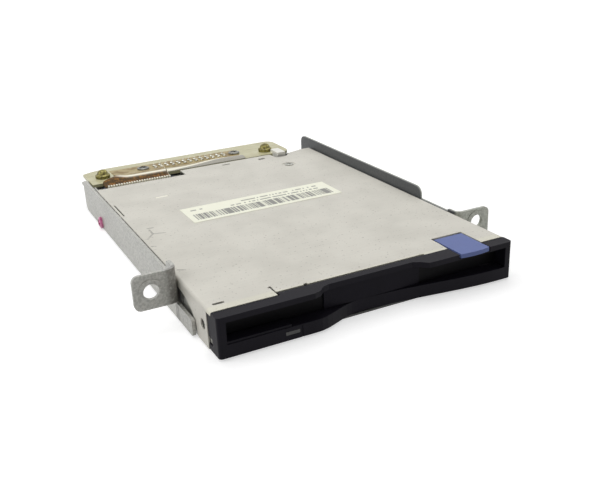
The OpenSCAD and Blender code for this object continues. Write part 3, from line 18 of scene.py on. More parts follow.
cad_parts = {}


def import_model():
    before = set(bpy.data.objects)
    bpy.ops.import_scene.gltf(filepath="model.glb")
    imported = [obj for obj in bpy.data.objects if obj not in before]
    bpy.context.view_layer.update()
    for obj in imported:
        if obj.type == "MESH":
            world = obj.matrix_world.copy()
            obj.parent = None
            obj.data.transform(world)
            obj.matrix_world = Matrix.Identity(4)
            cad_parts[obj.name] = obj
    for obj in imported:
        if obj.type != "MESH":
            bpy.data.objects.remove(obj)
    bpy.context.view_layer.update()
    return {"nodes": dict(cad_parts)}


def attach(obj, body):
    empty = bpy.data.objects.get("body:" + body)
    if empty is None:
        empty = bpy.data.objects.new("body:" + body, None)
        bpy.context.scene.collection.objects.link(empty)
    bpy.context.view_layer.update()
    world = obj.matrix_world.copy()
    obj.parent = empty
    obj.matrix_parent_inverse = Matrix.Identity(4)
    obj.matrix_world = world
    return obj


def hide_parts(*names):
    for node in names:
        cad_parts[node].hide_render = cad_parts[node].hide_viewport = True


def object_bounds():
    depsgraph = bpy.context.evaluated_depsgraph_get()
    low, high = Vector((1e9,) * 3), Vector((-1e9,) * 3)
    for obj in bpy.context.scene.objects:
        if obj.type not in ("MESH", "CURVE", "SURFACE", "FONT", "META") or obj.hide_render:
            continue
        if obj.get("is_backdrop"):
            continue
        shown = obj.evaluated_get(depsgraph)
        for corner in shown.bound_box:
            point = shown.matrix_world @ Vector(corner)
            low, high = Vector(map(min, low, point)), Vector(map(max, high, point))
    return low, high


LOG = logging.getLogger("drive")
MM = 0.001
BLACK = (0.0, 0.0, 0.0)
WHITE = (1.0, 1.0, 1.0)
Colour = tuple[float, float, float]
Span = tuple[float, float]
Place = tuple[float, float, float]
Number = Union[float, "Shade"]
Tint = Union[Colour, bpy.types.NodeSocket]
HeightAt = Callable[[float, float], float]


def mm(x: float, y: float, z: float) -> Vector:
    """Gives a point in metres from millimetres."""
    return Vector((x, y, z)) * MM


def paint(red: int, green: int, blue: int) -> Colour:
    """Turns a paint's screen values into linear colour.

    Args:
        red: Red from 0 to 255.
        green: Green from 0 to 255.
        blue: Blue from 0 to 255.

    Returns:
        The linear colour.
    """

    def channel(value: int) -> float:
        """Turns one channel linear."""
        share = value / 255
        return share / 12.92 if share <= 0.04045 else ((share + 0.055) / 1.055) ** 2.4

    return channel(red), channel(green), channel(blue)


def ease(share: float) -> float:
    """Smooth step from 0 to 1."""
    part = min(1.0, max(0.0, share))
    return part * part * (3 - 2 * part)


class Detail(Enum):
    """How many finer layers a noise has."""

    PLAIN = 0.0
    SOFT = 1.0
    CRISP = 2.0
    FINE = 3.0
    FINEST = 4.0


class Shade:
    """A number on a shader socket that takes part in Python arithmetic."""

    def __init__(self, tree: "Tree", socket: bpy.types.NodeSocket) -> None:
        """Keeps the socket and the tree that it belongs to."""
        self.tree = tree
        self.socket = socket

    def _with(self, operation: str, *values: Number) -> "Shade":
        """Adds a Math node and gives its result."""
        return self.tree.add("ShaderNodeMath", {"operation": operation}, dict(enumerate(values)))

    def __add__(self, other: Number) -> "Shade":
        """Adds."""
        return self._with("ADD", self, other)

    __radd__ = __add__

    def __mul__(self, other: Number) -> "Shade":
        """Multiplies."""
        return self._with("MULTIPLY", self, other)

    __rmul__ = __mul__

    def __sub__(self, other: Number) -> "Shade":
        """Subtracts."""
        return self._with("SUBTRACT", self, other)

    def __rsub__(self, other: Number) -> "Shade":
        """Subtracts this from another."""
        return self._with("SUBTRACT", other, self)

    def __truediv__(self, other: Number) -> "Shade":
        """Divides."""
        return self._with("DIVIDE", self, other)

    def floor(self) -> "Shade":
        """Rounds down."""
        return self._with("FLOOR", self)

    def part(self) -> "Shade":
        """Keeps the part after the point."""
        return self._with("FRACT", self)

    def over(self, limit: Number) -> "Shade":
        """Is 1 above a limit and 0 below it."""
        return self._with("GREATER_THAN", self, limit)

    def wave(self) -> "Shade":
        """Takes the sine."""
        return self._with("SINE", self)

    def rise(self, low: float, high: float) -> "Shade":
        """Climbs smoothly from 0 to 1 between two values.

        Args:
            low: Where the climb starts.
            high: Where it ends.

        Returns:
            The climbing value.
        """
        settings = {"interpolation_type": "SMOOTHSTEP"}
        values = {"Value": self, "From Min": low, "From Max": high}
        return self.tree.add("ShaderNodeMapRange", settings, values)

    def within(self, low: float, high: float, soft: float) -> "Shade":
        """Is 1 between two values, with soft ends."""
        return self.rise(low - soft, low) * (1 - self.rise(high, high + soft))


class Tree:
    """A node tree whose nodes all come from one method."""

    def __init__(self, tree: bpy.types.NodeTree) -> None:
        """Keeps the tree."""
        self.tree = tree

    def node(
        self, kind: str, settings: dict[str, Any], values: dict[Any, Any]
    ) -> bpy.types.Node:
        """Makes any node.

        Args:
            kind: The node's type.
            settings: Its properties.
            values: What goes into its sockets, by name or number.

        Returns:
            The node.
        """
        made = self.tree.nodes.new(kind)
        for name, value in settings.items():
            setattr(made, name, value)
        for key, value in values.items():
            self.feed(made.inputs[key], value)
        return made

    def add(self, kind: str, settings: dict[str, Any], values: dict[Any, Any]) -> Shade:
        """Makes a node and gives its first output as a value."""
        return Shade(self, self.node(kind, settings, values).outputs[0])

    def feed(self, socket: bpy.types.NodeSocket, value: Any) -> None:
        """Links or sets one socket.

        Args:
            socket: The socket.
            value: A shade or a socket to link, or a plain value to set.
        """
        if isinstance(value, Shade):
            self.tree.links.new(value.socket, socket)
        elif isinstance(value, bpy.types.NodeSocket):
            self.tree.links.new(value, socket)
        elif isinstance(value, tuple) and socket.type == "RGBA":
            socket.default_value = (*value, 1.0)
        else:
            socket.default_value = value

    def seen(self) -> Shade:
        """Marks the rays that meet a surface straight, in a reflection or through glass.

        Returns:
            1 on such rays and 0 on those that only carry light.
        """
        path = self.node("ShaderNodeLightPath", {}, {})
        straight = Shade(self, path.outputs["Is Camera Ray"])
        mirrored = Shade(self, path.outputs["Is Glossy Ray"])
        passed = Shade(self, path.outputs["Is Transmission Ray"])
        return (straight + mirrored + passed).over(0.5)


class Graph(Tree):
    """The node tree of one material."""

    def __init__(self, name: str) -> None:
        """Makes the material and its shader.

        Args:
            name: Name of the material.
        """
        self.material = bpy.data.materials.new(name)
        self.material.use_nodes = True
        super().__init__(self.material.node_tree)
        self.tree.nodes.clear()
        self.surface = self.node("ShaderNodeBsdfPrincipled", {}, {})
        self.node("ShaderNodeOutputMaterial", {}, {"Surface": self.surface.outputs["BSDF"]})
        self.place = self.node("ShaderNodeTexCoord", {}, {}).outputs["Object"]

    def axes(self) -> tuple[Shade, Shade, Shade]:
        """Gives the place on X, Y and Z in millimetres."""
        parts = self.node("ShaderNodeSeparateXYZ", {}, {"Vector": self.place})
        return tuple(Shade(self, parts.outputs[i]) * (1 / MM) for i in range(3))

    def painted(self, name: str) -> Shade:
        """Reads a value that a piece carries at its points."""
        read = self.node("ShaderNodeAttribute", {"attribute_name": name}, {})
        return Shade(self, read.outputs["Fac"])

    def stretched(self, scale: Sequence[float]) -> bpy.types.NodeSocket:
        """Gives the place with each axis scaled, for streaks."""
        values = {"Vector": self.place, "Scale": scale}
        return self.node("ShaderNodeMapping", {}, values).outputs[0]

    def noise(
        self, size: float, detail: Detail, vector: Optional[bpy.types.NodeSocket] = None
    ) -> Shade:
        """Makes cloudy noise.

        Args:
            size: Size of a cloud.
            detail: How many finer layers it has.
            vector: Where it is read, or None for the plain place.

        Returns:
            Noise about 0.5.
        """
        values = {"Vector": vector or self.place, "Scale": 1 / (size * MM)}
        return self.add("ShaderNodeTexNoise", {}, {**values, "Detail": detail.value})

    def cells(self, size: float) -> Shade:
        """Makes crystals of one random value each.

        Args:
            size: Size of a crystal.

        Returns:
            The crystals' values, from 0 to 1.
        """
        values = {"Vector": self.place, "Scale": 1 / (size * MM)}
        made = self.node("ShaderNodeTexVoronoi", {}, values)
        return self.add("ShaderNodeSeparateColor", {}, {0: made.outputs["Color"]})

    def dice(self, place: Shade) -> Shade:
        """Gives each whole step along a line a value of its own."""
        settings = {"noise_dimensions": "1D"}
        return self.add("ShaderNodeTexWhiteNoise", settings, {"W": place.floor()})

    def stroke(self, start: Span, end: Span, wide: float) -> Shade:
        """Is 1 on a thin line across the plane of X and Y.

        Args:
            start: Where the line starts.
            end: Where it ends.
            wide: Its width.

        Returns:
            The line, with soft edges.
        """
        x, y, _ = self.axes()
        run = (end[0] - start[0], end[1] - start[1])
        length = math.hypot(*run)
        cos, sin = run[0] / length, run[1] / length
        along = (x - start[0]) * cos + (y - start[1]) * sin
        aside = (y - start[1]) * cos - (x - start[0]) * sin
        return along.within(0.0, length, wide) * aside.within(-wide / 2, wide / 2, wide / 2)

    def mix(self, share: Number, first: Tint, second: Tint) -> bpy.types.NodeSocket:
        """Mixes two colours and gives the colour's socket."""
        values = {0: share, 6: first, 7: second}
        return self.node("ShaderNodeMix", {"data_type": "RGBA"}, values).outputs[2]

    def relief(self, height: Shade, depth: float, strength: float) -> None:
        """Puts a bump on the surface.

        Args:
            height: Height from 0 to 1.
            depth: Depth of the bump.
            strength: How strongly it shows.
        """
        values = {"Height": height, "Distance": depth * MM, "Strength": strength}
        bump = self.node("ShaderNodeBump", {}, values)
        self.feed(self.surface.inputs["Normal"], bump.outputs["Normal"])

    def dress(self, **values: Any) -> bpy.types.Material:
        """Sets the shader's sockets.

        Args:
            values: What goes into each socket, under its name with underscores.

        Returns:
            The material.
        """
        for name, value in values.items():
            socket = name.replace("_", " ").title().replace("Ior", "IOR")
            self.feed(self.surface.inputs[socket], value)
        return self.material


class Finish(Protocol):
    """What every finish offers."""

    @property
    def name(self) -> str:
        """Name of the material."""

    def material(self) -> bpy.types.Material:
        """Builds the material."""


class Direction(Enum):
    """Way in which a sheet was rolled, as the scale of its streaks on each axis."""

    ALONG_X = (0.06, 1.0, 1.0)
    ALONG_Y = (1.0, 0.06, 1.0)
    EVEN = (1.0, 1.0, 1.0)


@dataclass(frozen=True)
class ScuffAndShadowLine:
    """A dark line on a sheet, across the plane of X and Y: a scuff where the sheet is worn,
    or painted shadow where a gap or bend lies in shade.
    """

    start: Span
    end: Span
    strength: float
    wide: float = 0.45


@dataclass(frozen=True)
class Sheet:
    """Rolled sheet, plain or with zinc crystals."""

    name: str
    light: Colour
    dark: Colour
    metallic: float
    roughness: float
    rolled: Direction = Direction.ALONG_Y
    crystal: float = 0.0
    crystal_share: float = 0.0
    cloud: float = 14.0
    cloud_span: Span = (0.3, 0.7)
    streak: float = 0.45
    streak_size: float = 0.5
    streak_span: Span = (0.25, 0.75)
    depth: float = 0.006
    bump: float = 0.5
    rough_swing: float = 0.12
    flake_swing: float = 0.25
    large_share: float = 0.6
    small_crystal_share: float = 0.45
    specks: float = 0.0
    speck_size: float = 0.7
    speck_span: Span = (0.36, 0.64)
    scuffs_and_shadow_lines: tuple[ScuffAndShadowLine, ...] = ()
    dark_line_break_size: float = 1.1
    dark_line_break_span: Span = (0.2, 0.55)
    scuff_and_shadow_ink: Colour = paint(96, 92, 88)
    dots: float = 0.0
    dot_size: float = 0.8
    dot_span: Span = (0.68, 0.74)
    dot_ink: Colour = paint(120, 114, 104)
    # Painted highlight: the next four fields lay a lighter band across Y, as light along a bent
    # edge
    rim_highlight_y: Span = (0.0, 0.0)
    rim_highlight_soft: float = 1.6
    rim_highlight_share: float = 0.28
    rim_highlight: Colour = paint(232, 230, 202)
    # Painted shade: the last four fields lay a dark colour where a face lies in shade, fading
    # out along one axis
    deep: Colour = (0.03, 0.03, 0.03)
    painted_shade_axis: int = 0
    painted_shade_span: Span = (0.0, 0.0)
    painted_shade_share: float = 0.0

    def material(self) -> bpy.types.Material:
        """Builds the material.

        Returns:
            The material.
        """
        graph = Graph(self.name)
        clouds = graph.noise(self.cloud, Detail.FINE).rise(*self.cloud_span)
        streaks = graph.noise(self.streak_size, Detail.CRISP, graph.stretched(self.rolled.value))
        tone = clouds * (1 - self.streak) + streaks.rise(*self.streak_span) * self.streak
        rough = streaks * self.rough_swing + (self.roughness - self.rough_swing / 2)
        height = streaks
        if self.crystal:
            large = graph.cells(self.crystal)
            small = graph.cells(self.crystal * self.small_crystal_share)
            flake = large * self.large_share + small * (1 - self.large_share)
            tone = tone * (1 - self.crystal_share) + flake * self.crystal_share
            rough = rough + (flake - 0.5) * self.flake_swing
            height = height * (1 - self.large_share) + flake * self.large_share
        if self.specks:
            specks = graph.noise(self.speck_size, Detail.FINE).rise(*self.speck_span)
            tone = tone * (1 - self.specks) + specks * self.specks
        colour = self._worn(graph, graph.mix(tone, self.dark, self.light))
        graph.relief(height, self.depth, self.bump)
        return graph.dress(base_color=colour, metallic=self.metallic, roughness=rough)

    def _worn(self, graph: Graph, colour: bpy.types.NodeSocket) -> bpy.types.NodeSocket:
        """Lays scuffs and painted shadow lines, dust, a painted highlight band and painted shade
        over the sheet.

        Args:
            graph: The material's graph.
            colour: Colour of the clean sheet.

        Returns:
            Colour of the worn sheet with its painted light and shade.
        """
        # Dark lines: scuffs, and painted shadow in gaps and bends
        for dark_line in self.scuffs_and_shadow_lines:
            broken = graph.noise(self.dark_line_break_size, Detail.CRISP).rise(*self.dark_line_break_span)
            mark = graph.stroke(dark_line.start, dark_line.end, dark_line.wide) * broken
            colour = graph.mix(mark * dark_line.strength, colour, self.scuff_and_shadow_ink)
        if self.dots:
            dust = graph.noise(self.dot_size, Detail.SOFT).rise(*self.dot_span) * self.dots
            colour = graph.mix(dust, colour, self.dot_ink)
        # Painted highlight along an edge
        if self.rim_highlight_y[0] < self.rim_highlight_y[1]:
            edge = graph.axes()[1].within(*self.rim_highlight_y, self.rim_highlight_soft)
            colour = graph.mix(edge * self.rim_highlight_share, colour, self.rim_highlight)
        # Painted shade, fading out along one axis
        if self.painted_shade_share:
            share = 1 - graph.axes()[self.painted_shade_axis].rise(*self.painted_shade_span)
            colour = graph.mix(share * self.painted_shade_share, colour, self.deep)
        return colour


@dataclass(frozen=True)
class Moulding:
    """Moulded plastic with the fine texture of its mould."""

    name: str
    light: Colour
    dark: Colour
    roughness: float
    grain: float = 0.12
    depth: float = 0.01
    coat: float = 0.0
    shine: float = 0.5
    # Painted shade: colour of the door outside panel_x, where the slot's lips shade it
    painted_shade_wings: Colour = BLACK
    panel_x: Span = (0.0, 0.0)
    panel_soft: float = 0.1
    bump: float = 0.6
    dust: float = 9.0
    dust_span: Span = (0.35, 0.75)
    dust_share: float = 0.6
    grain_swing: float = 0.14
    dust_swing: float = 0.06

    def material(self) -> bpy.types.Material:
        """Builds the material.

        Returns:
            The material.
        """
        graph = Graph(self.name)
        grain = graph.noise(self.grain, Detail.FINE)
        dust = graph.noise(self.dust, Detail.FINEST).rise(*self.dust_span)
        tone = dust * self.dust_share + grain * (1 - self.dust_share)
        colour = graph.mix(tone, self.dark, self.light)
        # Painted shade outside the middle
        if self.panel_x[0] < self.panel_x[1]:
            unshaded_middle = graph.axes()[0].within(*self.panel_x, self.panel_soft)
            colour = graph.mix(unshaded_middle, self.painted_shade_wings, colour)
        graph.relief(grain, self.depth, self.bump)
        middle = self.roughness - (self.grain_swing + self.dust_swing) / 2
        return graph.dress(
            base_color=colour,
            roughness=grain * self.grain_swing + dust * self.dust_swing + middle,
            coat_weight=self.coat,
            specular_ior_level=self.shine,
        )


@dataclass(frozen=True)
class Turned:
    """Turned or plated metal with fine tool marks."""

    name: str
    light: Colour
    dark: Colour
    roughness: float
    metallic: float = 0.9
    mark: float = 0.18
    patch: float = 1.6
    patch_span: Span = (0.3, 0.72)
    depth: float = 0.004
    bump: float = 0.4
    mark_swing: float = 0.1
    patch_swing: float = -0.08

    def material(self) -> bpy.types.Material:
        """Builds the material.

        Returns:
            The material.
        """
        graph = Graph(self.name)
        marks = graph.noise(self.mark, Detail.CRISP)
        patches = graph.noise(self.patch, Detail.FINE).rise(*self.patch_span)
        graph.relief(marks, self.depth, self.bump)
        return graph.dress(
            base_color=graph.mix(patches, self.dark, self.light),
            metallic=self.metallic,
            roughness=marks * self.mark_swing + patches * self.patch_swing + self.roughness,
        )


@dataclass(frozen=True)
class Dashes:
    """A row of small dashes on the label."""

    start_x: float
    end_x: float
    low_y: float


@dataclass(frozen=True)
class LabelPaper:
    """Paper label with plain bars and rows of dashes."""

    name: str = "label_paper"
    paper: Colour = paint(254, 254, 236)
    shadow: Colour = paint(246, 246, 226)
    ink: Colour = paint(136, 136, 130)
    bars_x: Span = (-26.4, 26.0)
    bars_y: Span = (3.2, 8.9)
    bar_pitch: float = 0.32
    bar_limit: float = 0.4
    bar_faint: float = 0.25
    bar_soft: float = 0.05
    dash_pitch: float = 0.62
    dash_limit: float = 0.3
    dash_share: float = 0.85
    dash_soft: float = 0.1
    rows: tuple[Dashes, ...] = (
        Dashes(-11.4, 24.7, 10.3),
        Dashes(-6.8, 25.2, 12.9),
        Dashes(-25.6, -21.2, 12.7),
    )
    row_h: float = 0.9
    row_step: float = 7.0
    fibre: float = 0.3
    depth: float = 0.004
    bump: float = 0.4
    roughness: float = 0.42
    rough_swing: float = 0.1

    def material(self) -> bpy.types.Material:
        """Builds the material.

        Returns:
            The material.
        """
        graph = Graph(self.name)
        x, y, _ = graph.axes()
        across = x.within(*self.bars_x, self.bar_soft)
        bars = graph.dice(x / self.bar_pitch).over(self.bar_limit) * across
        bars = (bars * (1 - self.bar_faint) + self.bar_faint) * across
        ink = bars * y.within(*self.bars_y, self.bar_soft)
        for row in self.rows:
            # Each row reads another stretch of the random line, so that no two agree
            dashes = graph.dice(x / self.dash_pitch + row.low_y * self.row_step)
            high = y.within(row.low_y, row.low_y + self.row_h, self.dash_soft)
            field = x.within(row.start_x, row.end_x, self.bar_soft) * high
            ink = ink + dashes.over(self.dash_limit) * field * self.dash_share
        fibre = graph.noise(self.fibre, Detail.FINE)
        base = graph.mix(fibre, self.shadow, self.paper)
        graph.relief(fibre, self.depth, self.bump)
        return graph.dress(
            base_color=graph.mix(ink, base, self.ink),
            roughness=fibre * self.rough_swing + self.roughness,
        )


@dataclass(frozen=True)
class AmberFilm:
    """Polyimide film over copper traces, which shows the board through where it lies flat.

    A piece's points carry "laid", where the film lies on the board, and "glint", a painted
    highlight along its crest that also glows a little. Right of the tail the raised film is
    painted silver-grey as a reflection, hatched along its traces.
    """

    name: str = "cable_amber"
    film: Colour = paint(84, 60, 20)
    patch: Colour = paint(150, 102, 36)
    trace: Colour = paint(62, 44, 20)
    flat: Colour = paint(176, 160, 116)
    brown: Colour = paint(132, 108, 62)
    # Painted reflection: right of the tail the raised film is silver-grey, hatched along its
    # traces
    painted_reflection: Colour = paint(206, 202, 188)
    painted_reflection_hatch: Colour = paint(128, 126, 122)
    # Painted highlight along the crest, and the painted glow that brightens it
    glint: Colour = paint(255, 252, 236)
    sheen: Colour = paint(104, 102, 88)
    wander: float = 5.0
    blot: float = 1.6
    blot_span: Span = (0.46, 0.66)
    blot_share: float = 0.8
    trace_pitch: float = 1.0
    trace_wander: float = 0.4
    trace_span: Span = (0.35, 0.65)
    trace_soft: float = 0.15
    trace_share: float = 0.5
    fan_pitch: float = 0.95
    fan_slope: float = 1.3
    fan_wander: float = 0.6
    fan_span: Span = (0.25, 0.6)
    fan_soft: float = 0.2
    fan_share: float = 0.8
    right_x: Span = (-18.5, -15.0)
    stain: float = 3.5
    stain_span: Span = (0.42, 0.62)
    stain_share: float = 0.85
    depth: float = 0.01
    bump: float = 0.3
    roughness: float = 0.32
    rough_swing: float = 0.1
    shine: float = 0.12

    def material(self) -> bpy.types.Material:
        """Builds the material.

        Returns:
            The material.
        """
        graph = Graph(self.name)
        x, y, _ = graph.axes()
        wander = graph.noise(self.wander, Detail.SOFT)
        lines = (x / self.trace_pitch + wander * self.trace_wander).part()
        lines = lines.within(*self.trace_span, self.trace_soft)
        blots = graph.noise(self.blot, Detail.FINE).rise(*self.blot_span) * self.blot_share
        amber = graph.mix(lines * self.trace_share, self.film, self.trace)
        amber = graph.mix(blots, amber, self.patch)
        # Painted reflection on the raised film right of the tail, hatched along the traces
        fan = ((x + y * self.fan_slope) / self.fan_pitch + wander * self.fan_wander).part()
        fan = fan.within(*self.fan_span, self.fan_soft) * self.fan_share
        painted_reflection_colour = graph.mix(fan, self.painted_reflection, self.painted_reflection_hatch)
        raised = graph.mix(x.rise(*self.right_x), amber, painted_reflection_colour)
        stain = graph.noise(self.stain, Detail.FINE).rise(*self.stain_span) * self.stain_share
        laid = graph.mix(stain, self.flat, self.brown)
        colour = graph.mix(graph.painted("laid"), raised, laid)
        bright = graph.painted("glint")
        graph.relief(lines, self.depth, self.bump)
        return graph.dress(
            base_color=graph.mix(bright, colour, self.glint),
            roughness=wander * self.rough_swing + self.roughness,
            specular_ior_level=self.shine,
            # Painted glow: the highlight glows a little though no lamp is there
            emission_color=graph.mix(bright, BLACK, self.sheen),
            emission_strength=1.0,
        )


@dataclass(frozen=True)
class Laminate:
    """Circuit board with traces under its lacquer."""

    name: str
    ground: Colour
    trace: Colour
    pitch: float = 2.2
    roughness: float = 0.42
    weave_rate: float = 5.0
    cloud: float = 8.0
    cloud_span: Span = (0.3, 0.7)
    cloud_share: float = 0.35
    bend: float = 30.0
    bend_share: float = 0.3
    trace_span: Span = (0.4, 0.62)
    trace_soft: float = 0.05
    trace_share: float = 0.35
    worn: float = 6.0
    worn_span: Span = (0.45, 0.6)
    trace_height: float = 0.6
    weave_height: float = 0.2
    depth: float = 0.01
    bump: float = 0.5
    rough_swing: float = 0.1
    coat: float = 0.25

    def material(self) -> bpy.types.Material:
        """Builds the material.

        Returns:
            The material.
        """
        graph = Graph(self.name)
        x, y, _ = graph.axes()
        weave = (x * self.weave_rate).wave() * (y * self.weave_rate).wave() * 0.5 + 0.5
        cloud = graph.noise(self.cloud, Detail.CRISP).rise(*self.cloud_span)
        lines = (y / self.pitch + graph.noise(self.bend, Detail.PLAIN) * self.bend_share).part()
        lines = lines.within(*self.trace_span, self.trace_soft)
        worn = lines * graph.noise(self.worn, Detail.SOFT).rise(*self.worn_span)
        tone = worn * self.trace_share + cloud * self.cloud_share
        height = worn * self.trace_height + weave * self.weave_height
        graph.relief(height, self.depth, self.bump)
        return graph.dress(
            base_color=graph.mix(tone, self.ground, self.trace),
            roughness=cloud * self.rough_swing + self.roughness,
            coat_weight=self.coat,
        )


@dataclass(frozen=True)
class SmokedLens:
    """Dark polished moulding of the lamp's window."""

    name: str
    tint: Colour
    core: Colour
    roughness: float = 0.2
    haze: float = 3.0
    haze_span: Span = (0.3, 0.7)
    depth: float = 0.006
    bump: float = 0.4
    rough_swing: float = 0.1
    coat: float = 0.25
    coat_roughness: float = 0.08

    def material(self) -> bpy.types.Material:
        """Builds the material.

        Returns:
            The material.
        """
        graph = Graph(self.name)
        haze = graph.noise(self.haze, Detail.SOFT).rise(*self.haze_span)
        graph.relief(haze, self.depth, self.bump)
        return graph.dress(
            base_color=graph.mix(haze, self.core, self.tint),
            roughness=haze * self.rough_swing + self.roughness,
            coat_weight=self.coat,
            coat_roughness=self.coat_roughness,
        )


@dataclass(frozen=True)
class Lacquered:
    """Plated screw with a daub of locking lacquer over its head."""

    name: str = "screw_lacquer"
    lacquer: Colour = paint(214, 108, 158)
    deep: Colour = paint(176, 72, 124)
    metal: Colour = paint(176, 176, 168)
    daub_x: Span = (-49.0, -48.6)
    blot: float = 1.3
    blot_span: Span = (0.35, 0.65)
    blot_reach: float = 0.9
    depth: float = 0.05
    bump: float = 0.7
    metallic: float = 0.8
    roughness: float = 0.38
    smoothing: float = 0.1
    coat: float = 0.5

    def material(self) -> bpy.types.Material:
        """Builds the material.

        Returns:
            The material.
        """
        graph = Graph(self.name)
        blot = graph.noise(self.blot, Detail.FINE)
        cover = 1 - (graph.axes()[0] + blot * self.blot_reach).rise(*self.daub_x)
        colour = graph.mix(blot.rise(*self.blot_span), self.deep, self.lacquer)
        graph.relief(blot, self.depth, self.bump)
        return graph.dress(
            base_color=graph.mix(cover, self.metal, colour),
            metallic=(1 - cover) * self.metallic,
            roughness=self.roughness - cover * self.smoothing,
            coat_weight=cover * self.coat,
        )


COVER = Sheet(
    name="cover_sheet",
    light=paint(216, 213, 203),
    dark=paint(202, 199, 189),
    metallic=0.12,
    roughness=0.5,
    rolled=Direction.ALONG_X,
    streak=0.25,
    # Painted highlight: a lighter cream band along the bent front edge
    rim_highlight_y=(-63.2, -61.0),
    dots=0.5,
    scuffs_and_shadow_lines=(
        ScuffAndShadowLine((-43.6, 5.1), (-41.6, 4.9), 0.6),
        ScuffAndShadowLine((-43.3, 3.8), (-43.4, -0.6), 0.5),
        ScuffAndShadowLine((-43.4, -0.6), (-39.6, -1.7), 0.4),
        ScuffAndShadowLine((-43.4, -0.6), (-46.3, -4.4), 0.4),
        ScuffAndShadowLine((-47.0, -10.9), (-45.9, -11.6), 0.5),
        ScuffAndShadowLine((-46.1, -32.6), (-44.2, -33.8), 0.5),
        # Painted shadow: a dark line along the left edge, in the gap beside the bracket
        ScuffAndShadowLine((-47.9, 62.0), (-47.9, -36.0), 0.9, 0.3),
    ),
)
CHASSIS = Sheet(
    name="chassis_sheet",
    light=paint(186, 186, 180),
    dark=paint(158, 158, 152),
    metallic=0.55,
    roughness=0.42,
    # Painted shade: the floor's front edge, in shade under the bezel, turned near black
    deep=paint(34, 33, 36),
    painted_shade_axis=1,
    painted_shade_span=(-62.9, -62.2),
    painted_shade_share=0.85,
)
INNER = Sheet("inner_sheet", paint(196, 196, 188), paint(172, 172, 165), 0.6, 0.4)
ZINC = Sheet(
    name="bracket_zinc",
    light=paint(204, 203, 197),
    dark=paint(156, 156, 150),
    metallic=0.25,
    roughness=0.45,
    rolled=Direction.EVEN,
    crystal=0.9,
    crystal_share=0.4,
    specks=0.5,
    # Painted shade: a broad dark stroke over the left ear's bend
    scuffs_and_shadow_lines=(ScuffAndShadowLine((-50.6, -40.0), (-48.6, -38.6), 0.6, 1.6),),
)
# A shaded copy of the zinc: a little darker, with painted shade on the right wall's inner face
ZINC_WITH_PAINTED_SHADE = Sheet(
    name="bracket_zinc_painted_shade",
    light=paint(196, 198, 187),
    dark=paint(148, 150, 141),
    metallic=0.3,
    roughness=0.45,
    rolled=Direction.EVEN,
    crystal=0.9,
    crystal_share=0.4,
    specks=0.5,
    # Painted shade, darkening the wall inboard of its outer face
    deep=paint(44, 48, 58),
    painted_shade_span=(48.3, 49.1),
    painted_shade_share=0.86,
)
WIRE = Sheet("spring_wire", paint(206, 206, 200), paint(170, 170, 164), 0.75, 0.32)
BEZEL = Moulding(
    "bezel_black", paint(28, 26, 33), paint(17, 15, 22), 0.5, 0.16, 0.012, shine=0.1
)
DOOR = Moulding(
    name="door_black",
    light=paint(28, 26, 33),
    dark=paint(17, 15, 22),
    roughness=0.5,
    grain=0.16,
    depth=0.012,
    shine=0.08,
    # Painted shade: the door near black beside the middle, where the slot's lips shade it
    painted_shade_wings=paint(10, 9, 11),
    panel_x=(-14.8, 16.8),
)
BLUE = Moulding("button_blue", paint(110, 124, 176), paint(98, 111, 162), 0.5, 0.2, shine=0.2)
DARK = Moulding("moulded_dark", paint(52, 55, 66), paint(34, 37, 48), 0.5)
SOCKET = Moulding("connector_dark", paint(38, 44, 66), paint(24, 28, 46), 0.45, shine=0.1)
IVORY = Moulding("plunger_ivory", paint(236, 232, 216), paint(218, 212, 192), 0.42)
NYLON = Moulding("nylon_white", paint(250, 249, 242), paint(232, 230, 220), 0.4, 0.3, coat=0.2)
CERAMIC = Moulding(
    "head_ceramic", paint(232, 230, 222), paint(208, 204, 192), 0.25, 0.2, 0.004, 0.5
)
MAGNET = Moulding("magnet_black", paint(58, 58, 60), paint(40, 40, 42), 0.6, 0.3)
STEEL = Turned("turned_steel", paint(216, 216, 210), paint(176, 176, 170), 0.26)
PLATED = Turned("screw_steel", paint(204, 204, 196), paint(150, 150, 144), 0.3)
DULL = Turned("dark_screw", paint(150, 150, 144), paint(84, 84, 80), 0.3, 0.85)
YELLOW = Turned("yellow_zinc", paint(158, 150, 84), paint(82, 74, 36), 0.42, 0.45, 0.18, 0.9)
CAST = Turned("clamp_zinc", paint(182, 182, 177), paint(150, 150, 146), 0.45, 0.6, 0.3, 2.5)
BRONZE = Turned("bearing_bronze", paint(190, 160, 92), paint(150, 118, 58), 0.4, 0.8)
COPPER = Turned("coil_copper", paint(206, 128, 66), paint(160, 88, 38), 0.35, 0.7, 0.3)
# Painted highlight: near white with almost no metal, for the slit's lip and the contacts' tails
PAINTED_HIGHLIGHT_WHITE = Turned("painted_highlight_edge", paint(255, 253, 238), paint(246, 242, 222), 0.3, 0.05, 0.2, 0.8)
TIN = Turned("contact_tin", paint(240, 238, 226), paint(206, 200, 180), 0.24, 0.75, 0.2, 0.8)
SOLDER = Turned("solder", paint(232, 232, 224), paint(176, 176, 166), 0.22, 0.8, 0.3, 0.9)
LENS = SmokedLens("lamp_lens", paint(58, 55, 52), paint(40, 39, 38))
GREEN = Laminate("board_green", paint(40, 96, 62), paint(86, 140, 92))
CREAM = Laminate("interposer_cream", paint(200, 196, 158), paint(160, 152, 112), 3.4, 0.4)
AMBER = AmberFilm()
LABEL = LabelPaper()
LOCKED = Lacquered()


